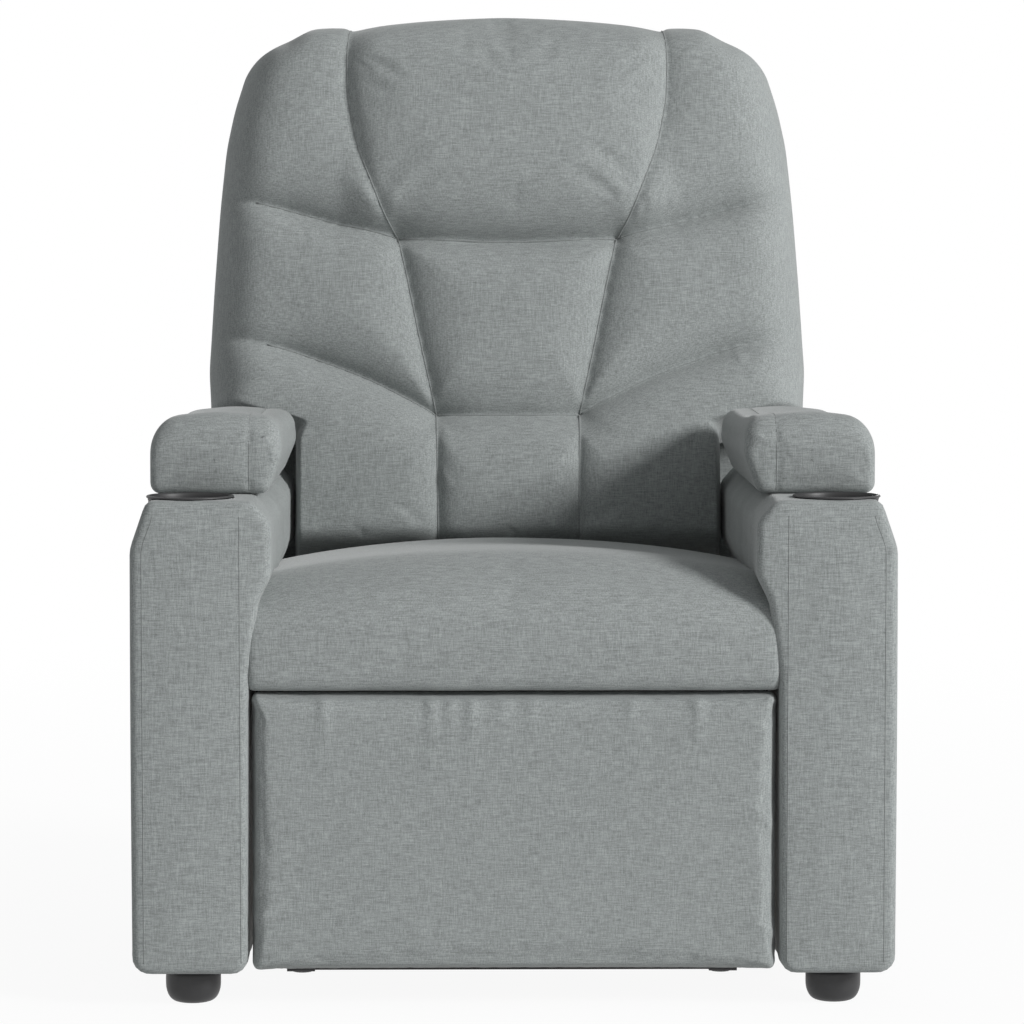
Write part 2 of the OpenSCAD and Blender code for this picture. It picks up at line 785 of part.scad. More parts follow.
module control_box() {
    w = 150;
    mid = -60;
    y0 = rear_tube.x - 130;
    color("#2a2a2a") difference() {
        union() {
            translate([mid - w / 2, y0, rail_top - 70]) cube([w, 70, 34]);
            for (x = [mid - w / 2 + 20, mid + w / 2 - 40])
                translate([x, y0 + 70, rail_top - 46]) cube([20, rear_tube.x - y0 - 70 - tube_r, 6]);
        }
        translate([mid, y0 - 1, rail_top - 52]) rotate([-90, 0, 0]) cylinder(r = 7, h = 12);
        for (k = [-5:5])
            translate([mid + k * 10 - 1.5, y0 + 14, rail_top - 38]) cube([3, 42, 3]);
    }
}

// ------------------------------------------------------------------- back

stile_w = 24;
hinge_t = 4;
hinge_x = plate_x + plate_t + link_gap;
stile_x = plate_x - link_gap - stile_w;
pad_w0 = stile_t / 2 + seat_fit;
frame_top = back_h - 30;
lower_half = bulge_x - back_gap;
skirt = 16;
skirt_top = 34;
boxing_t = 14;
ear_v = back_h - 477;
lumbar_v = 48;

// Inset from the greatest half-width at each drop from the shoulders
side_line = [[3, 455], [0, 407], [5, 308], [12, 210], [20, 135], [33, 85], [52, 36], [70, 11], [90, 0]];
side_insets = [for (p = side_line) [p.y, p.x]];
function side_x(v) = back_half_w - lookup(back_h - v, side_insets);
function side_points(v0, v1) = [for (p = side_line)
    let (v = back_h - p.y) if (v > v0 + 1 && v < v1 - 1) [back_half_w - p.x, v]];

// Seams across the right half of the back, from the middle outwards
head_top = 185;
head_side = [[128, head_v], [154, head_v + 47], [175, head_v + 102], [187, head_v + 163], [head_top, back_h - 26]];
centre_side = [[83, centre_v], [100, centre_v + 82], [115, head_v - 51], [126, head_v - 2]];
upper_out = back_h - 206;
lower_out = back_h - 374;

module back_stiles() {
    color("dimgray") both() {
        on_back() difference() {
            translate([stile_x, -40, -stile_t / 2]) cube([stile_w, frame_top + 40, stile_t]);
            translate([stile_x + 3, -41, -stile_t / 2 + 3]) cube([stile_w - 6, frame_top + 42, stile_t - 6]);
        }
        // hinge plate outside the chassis plate, joined to the stile above it
        on_back() difference() {
            slab(hinge_x, hinge_t) {
                hole([0, 0], 17);
                translate([0, -17]) square([70, 34]);
            }
            pin([0, 0], hinge_x - 1, hinge_x + hinge_t + 1, pin_r + run_fit);
        }
        on_back() translate([stile_x + stile_w, 52, -stile_t / 2]) cube([hinge_x - stile_x - stile_w, 18, stile_t]);
    }
}

module back_rail(v0, h) {
    on_back() translate([-stile_x, v0, -stile_t / 2]) cube([2 * stile_x, h, stile_t - wire]);
}
module back_top_rail() {
    color("burlywood") back_rail(frame_top - 40, 40);
}
module back_lower_rail() {
    color("dimgray") {
        on_back() translate([-stile_x, -40, -8]) cube([2 * stile_x, 30, 8 + stile_t / 2 - wire]);
        lugs(recline_x) difference() {
            bar(back_crank, at(back_hinge, 36, back_crank_dir), 12);
            hole(back_crank, eye_pin_r);
        }
        pin(back_crank, recline_x - ear_gap / 2 - ear_t, recline_x + ear_gap / 2 + ear_t, eye_pin_r);
    }
}

module back_springs() {
    low = -14;
    color("gray") on_back() for (k = [-1.5:1:1.5])
        translate([k * 105, low, stile_t / 2 - wire]) linear_extrude(wire)
            polygon(zigzag(frame_top - 4 - low, 60, 20));
}

// Right edge of the rear cover from below upwards, drawn in by inset
function back_edge(inset) = [[back_half_w - 30 - inset, skirt_top], [back_half_w - 8 - inset, 100],
    for (p = side_points(ear_v, back_h)) [p.x - inset, p.y - inset / 2], [back_half_w - 96, back_h - inset]];

function back_outline() = let (hem = stile_x + stile_w - 4,
    right = concat([[hem, -skirt], [hem, skirt_top]], back_edge(cover_inset)))
    concat(right, mirrored(right));

// Space for the frame inside the boxing, open below
function back_hollow() = let (edge = back_edge(cover_inset + boxing_t),
    right = concat([[edge[0].x, -skirt - 1]], edge))
    concat(right, mirrored(right));

// Flat outside back with a boxing round its edge that closes the frame in
module back_cover() {
    outline = back_outline();
    low = -stile_t / 2 - seat_fit;
    color("slategray") on_back() translate([0, 0, low - cover_t]) difference() {
        linear_extrude(cover_t + seat_fit + stile_t) polygon(fillet(outline, equal(outline, 14), 3));
        translate([0, 0, cover_t]) linear_extrude(stile_t + 1) polygon(back_hollow());
    }
}

// One stuffed section of the back, over its outline in the plane of the back
module section(outline, centre, h, crown, points = 24) {
    on_back() translate([0, 0, pad_w0])
        pillow(eased(evenly(outline, points)), centre, domed(h, 22, crown, soft_fit));
}

module head_pillow() {
    top = [[150, back_h - 8], [95, back_h + 4], [0, back_h + 8]];
    half = concat([[0, head_v]], head_side, top);
    outline = concat(half, [for (p = mirrored(half)) if (p.x < -1) p]);
    color("lightslategray") section(outline, [0, 560], back_pad - 8, 16, 36);
}

function shoulder_outline() = concat([head_side[0] + [2, 0]],
    [[side_x(upper_out) - 35, upper_out - 9], [side_x(upper_out), upper_out]], side_points(upper_out, back_h),
    [[back_half_w - 90, back_h], [head_top + 2, back_h - 4]],
    [for (k = [len(head_side) - 1:-1:1]) head_side[k]]);
function wing_outline() = concat([centre_side[0] + [2, 0]],
    [[side_x(lower_out) - 38, lower_out - 8], [side_x(lower_out), lower_out]], side_points(lower_out, upper_out),
    [[side_x(upper_out), upper_out], [side_x(upper_out) - 35, upper_out - 9]], [head_side[0] + [2, 0]],
    [for (k = [len(centre_side) - 1:-1:1]) centre_side[k]]);
function lumbar_outline() = concat([[81, lumbar_v], [lower_half, lumbar_v], [lower_half, ear_v],
    [back_half_w - 40, ear_v + 2], [back_half_w - 12, ear_v + 12]], side_points(ear_v + 14, lower_out),
    [[side_x(lower_out), lower_out], [side_x(lower_out) - 38, lower_out - 8], centre_side[0] + [2, 0]]);

module shoulder_right() {
    color("lightslategray") section(shoulder_outline(), [225, 560], back_pad - 20, 12, 30);
}
module shoulder_left() {
    color("lightslategray") mirror([1, 0, 0]) section(shoulder_outline(), [225, 560], back_pad - 20, 12, 30);
}
module wing_right() {
    color("lightslategray") section(wing_outline(), [205, 360], back_pad - 18, 14, 28);
}
module wing_left() {
    color("lightslategray") mirror([1, 0, 0]) section(wing_outline(), [205, 360], back_pad - 18, 14, 28);
}
module centre_panel() {
    color("lightslategray") section(concat([[0, centre_v]], centre_side, mirrored(centre_side)),
        [0, 315], back_pad - 12, 12);
}
module lumbar_centre() {
    color("lightslategray") section([[0, lumbar_v], [79, lumbar_v], [81, centre_v - 2],
        [-81, centre_v - 2], [-79, lumbar_v]], [0, 130], back_pad - 8, 12);
}
module lumbar_right() {
    color("lightslategray") section(lumbar_outline(), [195, 190], back_pad - 10, 16, 32);
}
module lumbar_left() {
    color("lightslategray") mirror([1, 0, 0]) section(lumbar_outline(), [195, 190], back_pad - 10, 16, 32);
}

// --------------------------------------------------------------- footrest

module long_links() {
    color("gray") both() {
        slab(long_x, bar_t) difference() {
            union() {
                bar(long_base, long_top, bar_r);
                bar(long_top, rocker_low, bar_r);
            }
            hole(long_base, pin_r + run_fit);
            hole(long_top, pin_r);
            hole(rocker_low, pin_r);
        }
        for (p = [long_top, rocker_low])
            pin(p, upper_x, long_x + bar_t, pin_r);
    }
}

module upper_links() {
    color("gray") both() {
        slab(upper_x, bar_t) difference() {
            union() {
                bar(long_top, upper_top, bar_r);
                bar(long_top, rear_top, bar_r - 1);
            }
            hole(long_top, pin_r + run_fit);
            hole(upper_top, pin_r);
            hole(rear_top, pin_r);
        }
        for (p = [upper_top, rear_top])
            pin(p, rear_x, upper_x + bar_t, pin_r);
    }
}

module parallel_links() {
    color("gray") both()
        slab(upper_x, bar_t) difference() {
            bar(rocker_low, rocker_top, bar_r - 1);
            hole(rocker_low, pin_r + run_fit);
            hole(rocker_top, pin_r + rocker_slack);
        }
}

module rear_links() {
    color("gray") both()
        slab(rear_x, bar_t) difference() {
            bar(rear_base, rear_top, bar_r);
            hole(rear_base, pin_r + run_fit);
            hole(rear_top + [0.1, -0.2], pin_r + rear_slack);
        }
}

panel_low = crease_h - 4 - panel_h;
panel_half = arm_in - panel_gap;
board_y = front_y + 2 + panel_t;

module footrest_board() {
    flange = 3;
    color("burlywood") {
        translate([20 - panel_half, board_y, panel_low + 12]) cube([2 * panel_half - 40, board_t, panel_h - 26]);
        both() {
            slab(rear_x, bar_t) difference() {
                union() {
                    bar(upper_top, rocker_top, bar_r);
                    polygon([[board_y + board_t, upper_top.y + 6], [upper_top.x, upper_top.y + bar_r],
                        [rocker_top.x, rocker_top.y - bar_r], [board_y + board_t, rocker_top.y - 30]]);
                }
                hole(upper_top, pin_r + run_fit);
                hole(rocker_top, pin_r);
            }
            pin(rocker_top, rear_x, upper_x + bar_t, pin_r);
            translate([rear_x - 22, board_y + board_t, rocker_top.y - 30])
                cube([22, flange, upper_top.y - rocker_top.y + 36]);
        }
    }
}

module footrest_panel() {
    outline = fillet([[-panel_half, panel_low], [panel_half, panel_low], [panel_half, panel_low + panel_h],
        [-panel_half, panel_low + panel_h]], [14, 14, 8, 8], 5);
    color("lightslategray") translate([0, board_y - seat_fit, 0]) rotate([90, 0, 0])
        pillow(outline, [0, panel_low + panel_h / 2], [[0.975, 0], [1, 8], [1, panel_t - 16], [0.993, panel_t - 8],
            [0.97, panel_t - 3], [0.9, panel_t], [0.6, panel_t + 1]]);
}

// ---------------------------------------------------------------- drawing

base_runners();
base_front_rail();
base_motor_rail();
base_brackets();
base_glides();
base_pins();
lift_links();
lift_torque_tube();
control_links();
lift_motor();
lift_drive_tube();
lift_rod();
side_plates();
chassis_pins();
chassis_front_tube();
chassis_rear_tube();
seat_front_rail();
seat_rear_rail();
seat_springs();
seat_cushion();
arm_left();
arm_right();
arm_front_left();
arm_front_right();
arm_pad_left();
arm_pad_right();
cup_holder_left();
cup_holder_right();
feet();
control_box();
side_pocket();
handset();
button_up();
button_down();
button_recline();
button_upright();
recline_motor();
recline_drive_tube();
recline_rod();
back_stiles();
back_top_rail();
back_lower_rail();
back_springs();
back_cover();
head_pillow();
shoulder_left();
shoulder_right();
wing_left();
wing_right();
centre_panel();
lumbar_centre();
lumbar_left();
lumbar_right();
long_links();
upper_links();
parallel_links();
rear_links();
footrest_board();
footrest_panel();
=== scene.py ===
import json
import math

import bmesh
import bpy
import numpy as np
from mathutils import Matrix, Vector
from mathutils.bvhtree import BVHTree


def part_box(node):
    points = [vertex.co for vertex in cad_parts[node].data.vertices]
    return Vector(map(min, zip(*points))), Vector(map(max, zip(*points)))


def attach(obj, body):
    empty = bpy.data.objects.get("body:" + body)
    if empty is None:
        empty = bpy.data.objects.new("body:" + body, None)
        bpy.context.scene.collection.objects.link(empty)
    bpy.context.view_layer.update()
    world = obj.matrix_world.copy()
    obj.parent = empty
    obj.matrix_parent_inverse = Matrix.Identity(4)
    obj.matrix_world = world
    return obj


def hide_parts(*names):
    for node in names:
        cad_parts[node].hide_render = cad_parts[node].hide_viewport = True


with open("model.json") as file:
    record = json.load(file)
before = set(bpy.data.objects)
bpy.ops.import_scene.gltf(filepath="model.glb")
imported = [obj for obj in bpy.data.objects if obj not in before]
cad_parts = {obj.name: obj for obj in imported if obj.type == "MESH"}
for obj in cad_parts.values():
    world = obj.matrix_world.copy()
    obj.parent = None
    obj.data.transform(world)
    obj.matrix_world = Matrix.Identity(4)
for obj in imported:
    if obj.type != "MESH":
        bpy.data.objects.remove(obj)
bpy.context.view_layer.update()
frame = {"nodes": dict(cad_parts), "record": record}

# ------------------------------------------------------------------ the frame's own sizes, in metres
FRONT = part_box("arm_right")[0].y                     # front faces of the arms
ARM_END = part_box("arm_right")[1].y
ARM_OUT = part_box("arm_left")[0].x * -1.0             # outer faces of the arms
ARM_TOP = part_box("arm_left")[1].z
ARM_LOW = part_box("arm_left")[0].z                    # floor gap under the arms
ARM_IN = 0.275                                       # inner faces of the arms
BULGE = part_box("arm_right")[0].x                     # padded inner side of an arm
HINGE_Y, HINGE_Z = FRONT + 0.655, 0.350              # hinge of the back
LEAN = math.radians(15.0)
BACK_V = 0.682                                       # the shoulders' height along the back
BACK_HALF = 0.352                                    # half-width of the back above the arms
BACK_LOW, BACK_EDGE = 0.044, 0.694                   # ends of the back cushion along the back
OVER_ARMS = (0.192, 0.224)                           # between these it widens over the arms
RIM = 0.062                                          # stand-off of the back cushion's border
ARM_GAP = 0.0008                                     # between the back and the padded arms
CUP_WELL, CUP_DEEP = 0.0434, 0.069                   # radius and depth of the well in an arm


# ------------------------------------------------------------------ meshes
def smoothstep(low, high, t):
    """Goes from 0 at low to 1 at high with level ends: 3 s^2 - 2 s^3."""
    s = np.clip((t - low) / (high - low), 0.0, 1.0)
    return s * s * (3.0 - 2.0 * s)


def lattice(rows, cols, wrap_rows=False, wrap_cols=False):
    """Quads that join each point of a rows x cols grid with its neighbours in the next row and column."""
    r = np.arange(rows if wrap_rows else rows - 1)
    c = np.arange(cols if wrap_cols else cols - 1)
    r, c = np.meshgrid(r, c, indexing="ij")
    r2, c2 = (r + 1) % rows, (c + 1) % cols
    return np.stack([r * cols + c, r2 * cols + c, r2 * cols + c2, r * cols + c2], -1).reshape(-1, 4)


def piece_from(name, points, quads):
    """A mesh object at the origin from an array of points and lists of corner indices."""
    mesh = bpy.data.meshes.new(name)
    corners = [list(map(int, q)) for q in quads]
    mesh.from_pydata(np.asarray(points, float).reshape(-1, 3).tolist(), [], corners)
    mesh.polygons.foreach_set("use_smooth", np.ones(len(mesh.polygons), bool))
    mesh.update()
    piece = bpy.data.objects.new(name, mesh)
    bpy.context.scene.collection.objects.link(piece)
    return piece


def points_of(piece):
    """The piece's vertices as an array."""
    co = np.empty(len(piece.data.vertices) * 3)
    piece.data.vertices.foreach_get("co", co)
    return co.reshape(-1, 3)


def put_points(piece, co):
    """Moves the piece's vertices to the rows of an array."""
    piece.data.vertices.foreach_set("co", np.asarray(co, np.float32).ravel())
    piece.data.update()


def two_faced(name, front, back):
    """A closed shell from two grids of the same size that share their border points."""
    rows, cols = front.shape[:2]
    inner = np.zeros((rows, cols), bool)
    inner[1:-1, 1:-1] = True
    index = np.arange(rows * cols).reshape(rows, cols)
    index_back = index.copy()
    index_back[inner] = rows * cols + np.arange(inner.sum())
    quads = lattice(rows, cols)
    other = index_back.ravel()[quads][:, ::-1]
    points = np.concatenate([front.reshape(-1, 3), back[inner]])
    return piece_from(name, points, np.concatenate([quads, other]))


def border_of(x):
    """True on the first and last rows and columns of a grid."""
    border = np.zeros(x.shape, bool)
    border[[0, -1], :] = border[:, [0, -1]] = True
    return border


def rise(*edges):
    """From 0 on the border to 1 inside: the product, over pairs of a distance d and a radius r, of
    (1 - (1 - d/r)^2.4)^0.5."""
    out = np.ones_like(edges[0][0])
    for gap, r in edges:
        k = np.clip(1 - gap / r, 0, 1)
        out = out * np.sqrt(np.maximum(1 - k ** 2.4, 0))
    return out


def ringed(name, rings, low=None, high=None):
    """A closed skin over rings of points, with a fan from each end ring to its middle point."""
    rows, cols = rings.shape[:2]
    points = [rings.reshape(-1, 3)]
    quads = lattice(rows, cols, wrap_cols=True).tolist()
    for at, ring, flip in ((low, 0, True), (high, rows - 1, False)):
        if at is None:
            at = rings[ring].mean(0)
        tip = sum(len(p) for p in points)
        points.append(np.asarray(at, float).reshape(1, 3))
        for k in range(cols):
            a, b = ring * cols + k, ring * cols + (k + 1) % cols
            quads.append([a, b, tip] if flip else [b, a, tip])
    return piece_from(name, np.concatenate(points), quads)


def outward(piece):
    """Turns every face outwards."""
    bm = bmesh.new()
    bm.from_mesh(piece.data)
    bmesh.ops.recalc_face_normals(bm, faces=bm.faces)
    bm.to_mesh(piece.data)
    bm.free()
    return piece


def finished(piece):
    """Adds one level of subdivision that stays live, the same in view and render."""
    m = piece.modifiers.new("smooth", "SUBSURF")
    m.levels = m.render_levels = 1
    return piece


def applied(piece):
    """Bakes the modifiers of a piece into its mesh."""
    graph = bpy.context.evaluated_depsgraph_get()
    mesh = bpy.data.meshes.new_from_object(piece.evaluated_get(graph))
    old = piece.data
    piece.modifiers.clear()
    piece.data = mesh
    mesh.name = piece.name
    bpy.data.meshes.remove(old)
    mesh.polygons.foreach_set("use_smooth", np.ones(len(mesh.polygons), bool))
    return piece


def filleted(corners, radii, steps):
    """A closed outline whose corners are arcs of their own radii, by tangent circles."""
    pts = np.asarray(corners, float)
    out = []
    for i, p in enumerate(pts):
        a, b = pts[i - 1] - p, pts[(i + 1) % len(pts)] - p
        ua, ub = a / np.linalg.norm(a), b / np.linalg.norm(b)
        half = math.acos(np.clip(ua @ ub, -1, 1)) / 2
        r = min(radii[i], 0.49 * min(np.linalg.norm(a), np.linalg.norm(b)) * math.tan(half))
        m = (ua + ub) / np.linalg.norm(ua + ub)
        c = p + m * r / math.sin(half)
        f, t = p + ua * r / math.tan(half) - c, p + ub * r / math.tan(half) - c
        a0, a1 = math.atan2(f[1], f[0]), math.atan2(t[1], t[0])
        turn = (a1 - a0 + math.pi) % (2 * math.pi) - math.pi
        angles = a0 + turn * np.linspace(0, 1, steps + 1)
        out.append(c + r * np.stack([np.cos(angles), np.sin(angles)], -1))
    return np.concatenate(out)


def evenly(outline, count, closed=True):
    """Points at even steps along an outline."""
    pts = np.concatenate([outline, outline[:1]]) if closed else np.asarray(outline, float)
    run = np.concatenate([[0], np.cumsum(np.linalg.norm(np.diff(pts, axis=0), axis=1))])
    at = np.linspace(0, run[-1], count, endpoint=not closed)
    return np.stack([np.interp(at, run, pts[:, k]) for k in range(pts.shape[1])], -1)


def inward_of(base):
    """Unit vectors that point into a closed outline that runs anticlockwise."""
    tangent = np.roll(base, -1, 0) - np.roll(base, 1, 0)
    tangent /= np.linalg.norm(tangent, axis=1, keepdims=True)
    return np.stack([-tangent[:, 1], tangent[:, 0]], -1)


def lathe(name, centre, profile, turns=72):
    """A profile of (radius, height) points turned about a vertical axis through centre."""
    angle = np.linspace(0, 2 * math.pi, turns, endpoint=False)
    prof = np.asarray(profile, float)
    rings = np.stack([
        centre[0] + prof[:, :1] * np.cos(angle), centre[1] + prof[:, :1] * np.sin(angle),
        centre[2] + np.repeat(prof[:, 1:], turns, 1)], -1)
    low = [centre[0], centre[1], centre[2] + prof[0, 1]]
    high = [centre[0], centre[1], centre[2] + prof[-1, 1]]
    return outward(ringed(name, rings, low, high))


def tube(name, path, radius, sides=6):
    """A round section carried along an open path; each ring is square to the path's direction."""
    p = np.asarray(path, float)
    d = np.roll(p, -1, 0) - np.roll(p, 1, 0)
    d[0], d[-1] = p[1] - p[0], p[-1] - p[-2]
    d /= np.linalg.norm(d, axis=1, keepdims=True) + 1e-12
    ref = np.where(np.abs(d[:, :1]) > 0.8, [[0, 0, 1.0]], [[1.0, 0, 0]])
    n = np.cross(d, ref)
    n /= np.linalg.norm(n, axis=1, keepdims=True)
    b = np.cross(d, n)
    a = np.linspace(0, 2 * math.pi, sides, endpoint=False)
    circle = n[:, None] * np.cos(a)[None, :, None] + b[:, None] * np.sin(a)[None, :, None]
    return outward(ringed(name, p[:, None] + radius * circle))


def joined(name, pieces):
    """Several meshes as one piece."""
    parts, quads, base = [], [], 0
    for p in pieces:
        co = points_of(p)
        parts.append(co)
        quads += [[base + k for k in f.vertices] for f in p.data.polygons]
        base += len(co)
        bpy.data.objects.remove(p)
    return piece_from(name, np.concatenate(parts), quads)


# ------------------------------------------------------------------ stuffing by cloth simulation
PRESSURE, STIFFNESS = 4.0, 15.0
PRESSING = 20                                        # how many frames it takes


def stuffed(piece, held, cap, excess, bending):
    """Presses the cover outwards as cloth. held is 1 where it is sewn down and 0 where it is free; a
    point that would move by d moves by c tanh(d / c), where c is cap times (1 - held)."""
    rest = points_of(piece)
    group = piece.vertex_groups.new(name="sewn")
    for level in np.unique(np.round(held, 2)):
        if level > 0:
            group.add(np.nonzero(np.round(held, 2) == level)[0].tolist(), float(level), "REPLACE")
    m = piece.modifiers.new("cloth", "CLOTH")
    s = m.settings
    s.quality, s.mass = 4, 0.3
    s.tension_stiffness = s.compression_stiffness = s.shear_stiffness = STIFFNESS
    s.bending_stiffness = bending
    s.use_pressure, s.uniform_pressure_force = True, PRESSURE
    s.vertex_group_mass = "sewn"
    s.pin_stiffness = 1.0
    s.shrink_min = -excess
    s.effector_weights.gravity = 0.0
    m.collision_settings.use_collision = False
    m.collision_settings.use_self_collision = False
    m.point_cache.frame_start, m.point_cache.frame_end = 1, PRESSING
    scene = bpy.context.scene
    for k in range(1, PRESSING + 1):
        scene.frame_set(k)
    graph = bpy.context.evaluated_depsgraph_get()
    now = np.empty(len(rest) * 3)
    piece.evaluated_get(graph).data.vertices.foreach_get("co", now)
    move = now.reshape(-1, 3) - rest
    length = np.linalg.norm(move, axis=1, keepdims=True) + 1e-12
    limit = cap * (1.0 - np.clip(held, 0, 1))[:, None]
    move *= limit * np.tanh(length / np.maximum(limit, 1e-9)) / length
    piece.modifiers.remove(m)
    piece.vertex_groups.clear()
    put_points(piece, rest + move)
    scene.frame_set(1)
    return piece


# ------------------------------------------------------------------ materials
class Shade:
    """A socket of a node tree that takes part in arithmetic; each operator adds its Math node."""

    def __init__(self, tree, socket):
        self.tree, self.socket = tree, socket

    def _math(self, operation, *others):
        return add(self.tree, "ShaderNodeMath", {"operation": operation}, self, *others)

    def __add__(self, o): return self._math("ADD", o)
    def __radd__(self, o): return self._math("ADD", o)
    def __mul__(self, o): return self._math("MULTIPLY", o)
    def __rmul__(self, o): return self._math("MULTIPLY", o)
    def __sub__(self, o): return self._math("SUBTRACT", o)
    def __rsub__(self, o): return (self * -1.0) + o


def add(tree, kind, settings=None, *inputs, out=0, **named):
    """Adds one node: settings first, then the values or links of its sockets, in order or by name."""
    node = tree.nodes.new(kind)
    for key, value in (settings or {}).items():
        if key == "stops":
            ramp = node.color_ramp
            while len(ramp.elements) < len(value):
                ramp.elements.new(0.5)
            for element, (place, colour) in zip(ramp.elements, value):
                element.position, element.color = place, colour
        else:
            setattr(node, key, value)
    pairs = list(enumerate(inputs)) + [(k.replace("_", " "), v) for k, v in named.items()]
    for key, value in pairs:
        if value is None:
            continue
        if isinstance(value, Shade):
            tree.links.new(value.socket, node.inputs[key])
        else:
            node.inputs[key].default_value = value
    return Shade(tree, node.outputs[out]) if len(node.outputs) else None


def fresh(name):
    """An empty material with its tree and object coordinates."""
    mat = bpy.data.materials.new(name)
    mat.use_nodes = True
    mat.node_tree.nodes.clear()
    return mat, mat.node_tree, add(mat.node_tree, "ShaderNodeTexCoord", None, out=3)


def surface(tree, **sockets):
    """The surface shader with the given values or links of its sockets, joined to the output."""
    add(tree, "ShaderNodeOutputMaterial", None, add(tree, "ShaderNodeBsdfPrincipled", None, **sockets))


def relief(tree, strength, distance, height):
    """Bump from a height between 0 and 1, which stands for distance in metres."""
    return add(tree, "ShaderNodeBump", None, Strength=strength, Distance=distance, Height=height)


def noise(tree, place, stretch, scale, detail=2.0, rough=0.5, turn=(0, 0, 0)):
    """Noise on coordinates that are first turned back by turn and then stretched along the axes."""
    shrink = tuple(1.0 / c for c in stretch)
    mapped = add(tree, "ShaderNodeMapping", {"vector_type": "TEXTURE"}, place, None, turn, shrink)
    return add(tree, "ShaderNodeTexNoise", None, Vector=mapped, Scale=scale, Detail=detail, Roughness=rough)


def mixed(tree, factor, a, b):
    """Colour a where factor is 0 and b where it is 1."""
    colours = [c if isinstance(c, Shade) else (*c, 1.0) for c in (a, b)]
    return add(tree, "ShaderNodeMix", {"data_type": "RGBA"}, factor, *[None] * 5, *colours, out=2)


def linear(*rgb255):
    """Linear colour of a screen colour given from 0 to 255."""
    shares = [v / 255.0 for v in rgb255]
    return tuple(c / 12.92 if c <= 0.04045 else ((c + 0.055) / 1.055) ** 2.4 for c in shares)


def weave(name, pale, dark, turn=(0, 0, 0)):
    """Linen-like cloth: slub yarns run along the three axes, each a noise drawn out along its yarn, over
    a fine thread grain and slow shade changes; colour = mix by their sum, height = the same sum."""
    mat, tree, place = fresh(name)
    across = noise(tree, place, (70, 900, 900), 1.0, 2.0, 0.55, turn)
    upright = noise(tree, place, (900, 900, 80), 1.0, 2.0, 0.55, turn)
    deep = noise(tree, place, (900, 80, 900), 1.0, 2.0, 0.55, turn)
    fine = noise(tree, place, (1, 1, 1), 1400.0, 1.0, 0.5)
    slow = noise(tree, place, (1, 1, 1), 9.0, 3.0, 0.55)
    patch = noise(tree, place, (1, 1, 1), 60.0, 3.0, 0.6)
    yarn = across * 0.42 + upright * 0.36 + deep * 0.22
    tone = (yarn - 0.5) * 3.0 + (fine - 0.5) * 0.5 + (slow - 0.5) * 0.16 + (patch - 0.5) * 0.2 + 0.5
    surface(tree, Base_Color=mixed(tree, tone, dark, pale), Roughness=(yarn - 0.5) * 0.25 + 0.9,
            Sheen_Weight=0.25, Sheen_Roughness=0.45, Specular_IOR_Level=0.22,
            Normal=relief(tree, 0.35, 0.0006, yarn * 1.2 + fine * 0.5))
    return mat


def plastic(name, colour, rough=0.45, grain=900.0, depth=0.00008, coat=0.0):
    """Moulded plastic: fine spark-eroded grain in the height, slow smudges in colour and roughness."""
    mat, tree, place = fresh(name)
    pits = noise(tree, place, (1, 1, 1), grain, 2.0, 0.6)
    smudge = noise(tree, place, (1, 1, 1), 14.0, 3.0, 0.55)
    dust = noise(tree, place, (1, 1, 1), 160.0, 3.0, 0.6)
    shade = mixed(tree, (smudge - 0.5) * 0.7 + (dust - 0.5) * 0.5 + 0.5, tuple(c * 0.78 for c in colour),
                  tuple(min(1.0, c * 1.3 + 0.004) for c in colour))
    surface(tree, Base_Color=shade, Roughness=(smudge - 0.5) * 0.3 + rough, Coat_Weight=coat,
            Normal=relief(tree, 0.5, depth, pits))
    return mat


def metal(name, colour, metallic, rough, streak=(1, 1, 1), scale=260.0, wear=None):
    """Coated or bare steel: orange-peel or drawn streaks in the height, patches in roughness, and
    rubbed spots of a paler colour where the wear noise is high."""
    mat, tree, place = fresh(name)
    peel = noise(tree, place, streak, scale, 2.0, 0.5)
    patch = noise(tree, place, (1, 1, 1), 22.0, 4.0, 0.6)
    spots = noise(tree, place, (1, 1, 1), 75.0, 5.0, 0.65)
    tone = mixed(tree, (patch - 0.5) * 0.9 + (peel - 0.5) * 0.4 + 0.5, tuple(c * 0.75 for c in colour),
                 tuple(min(1.0, c * 1.25) for c in colour))
    if wear:
        rub = add(tree, "ShaderNodeValToRGB", {"stops": [(0.63, (0, 0, 0, 1)), (0.72, (1, 1, 1, 1))]}, spots)
        tone = mixed(tree, rub * 0.55, tone, wear)
    surface(tree, Base_Color=tone, Metallic=metallic, Roughness=(patch - 0.5) * 0.35 + rough,
            Normal=relief(tree, 0.4, 0.00015, peel))
    return mat


def timber(name, pale, dark, along):
    """Planed softwood or plywood: growth rings drawn out along the grain, with fibres and a few knots."""
    mat, tree, place = fresh(name)
    rings = noise(tree, place, along, 1.0, 3.0, 0.6)
    fibre = noise(tree, place, tuple(c * 9 for c in along), 1.0, 2.0, 0.5)
    knot = noise(tree, place, (1, 1, 1), 8.0, 3.0, 0.5)
    tone = mixed(tree, (rings - 0.5) * 2.2 + (fibre - 0.5) * 0.8 + (knot - 0.5) * 0.8 + 0.5, dark, pale)
    surface(tree, Base_Color=tone, Roughness=(fibre - 0.5) * 0.3 + 0.62,
            Normal=relief(tree, 0.4, 0.0003, rings + fibre * 0.6))
    return mat


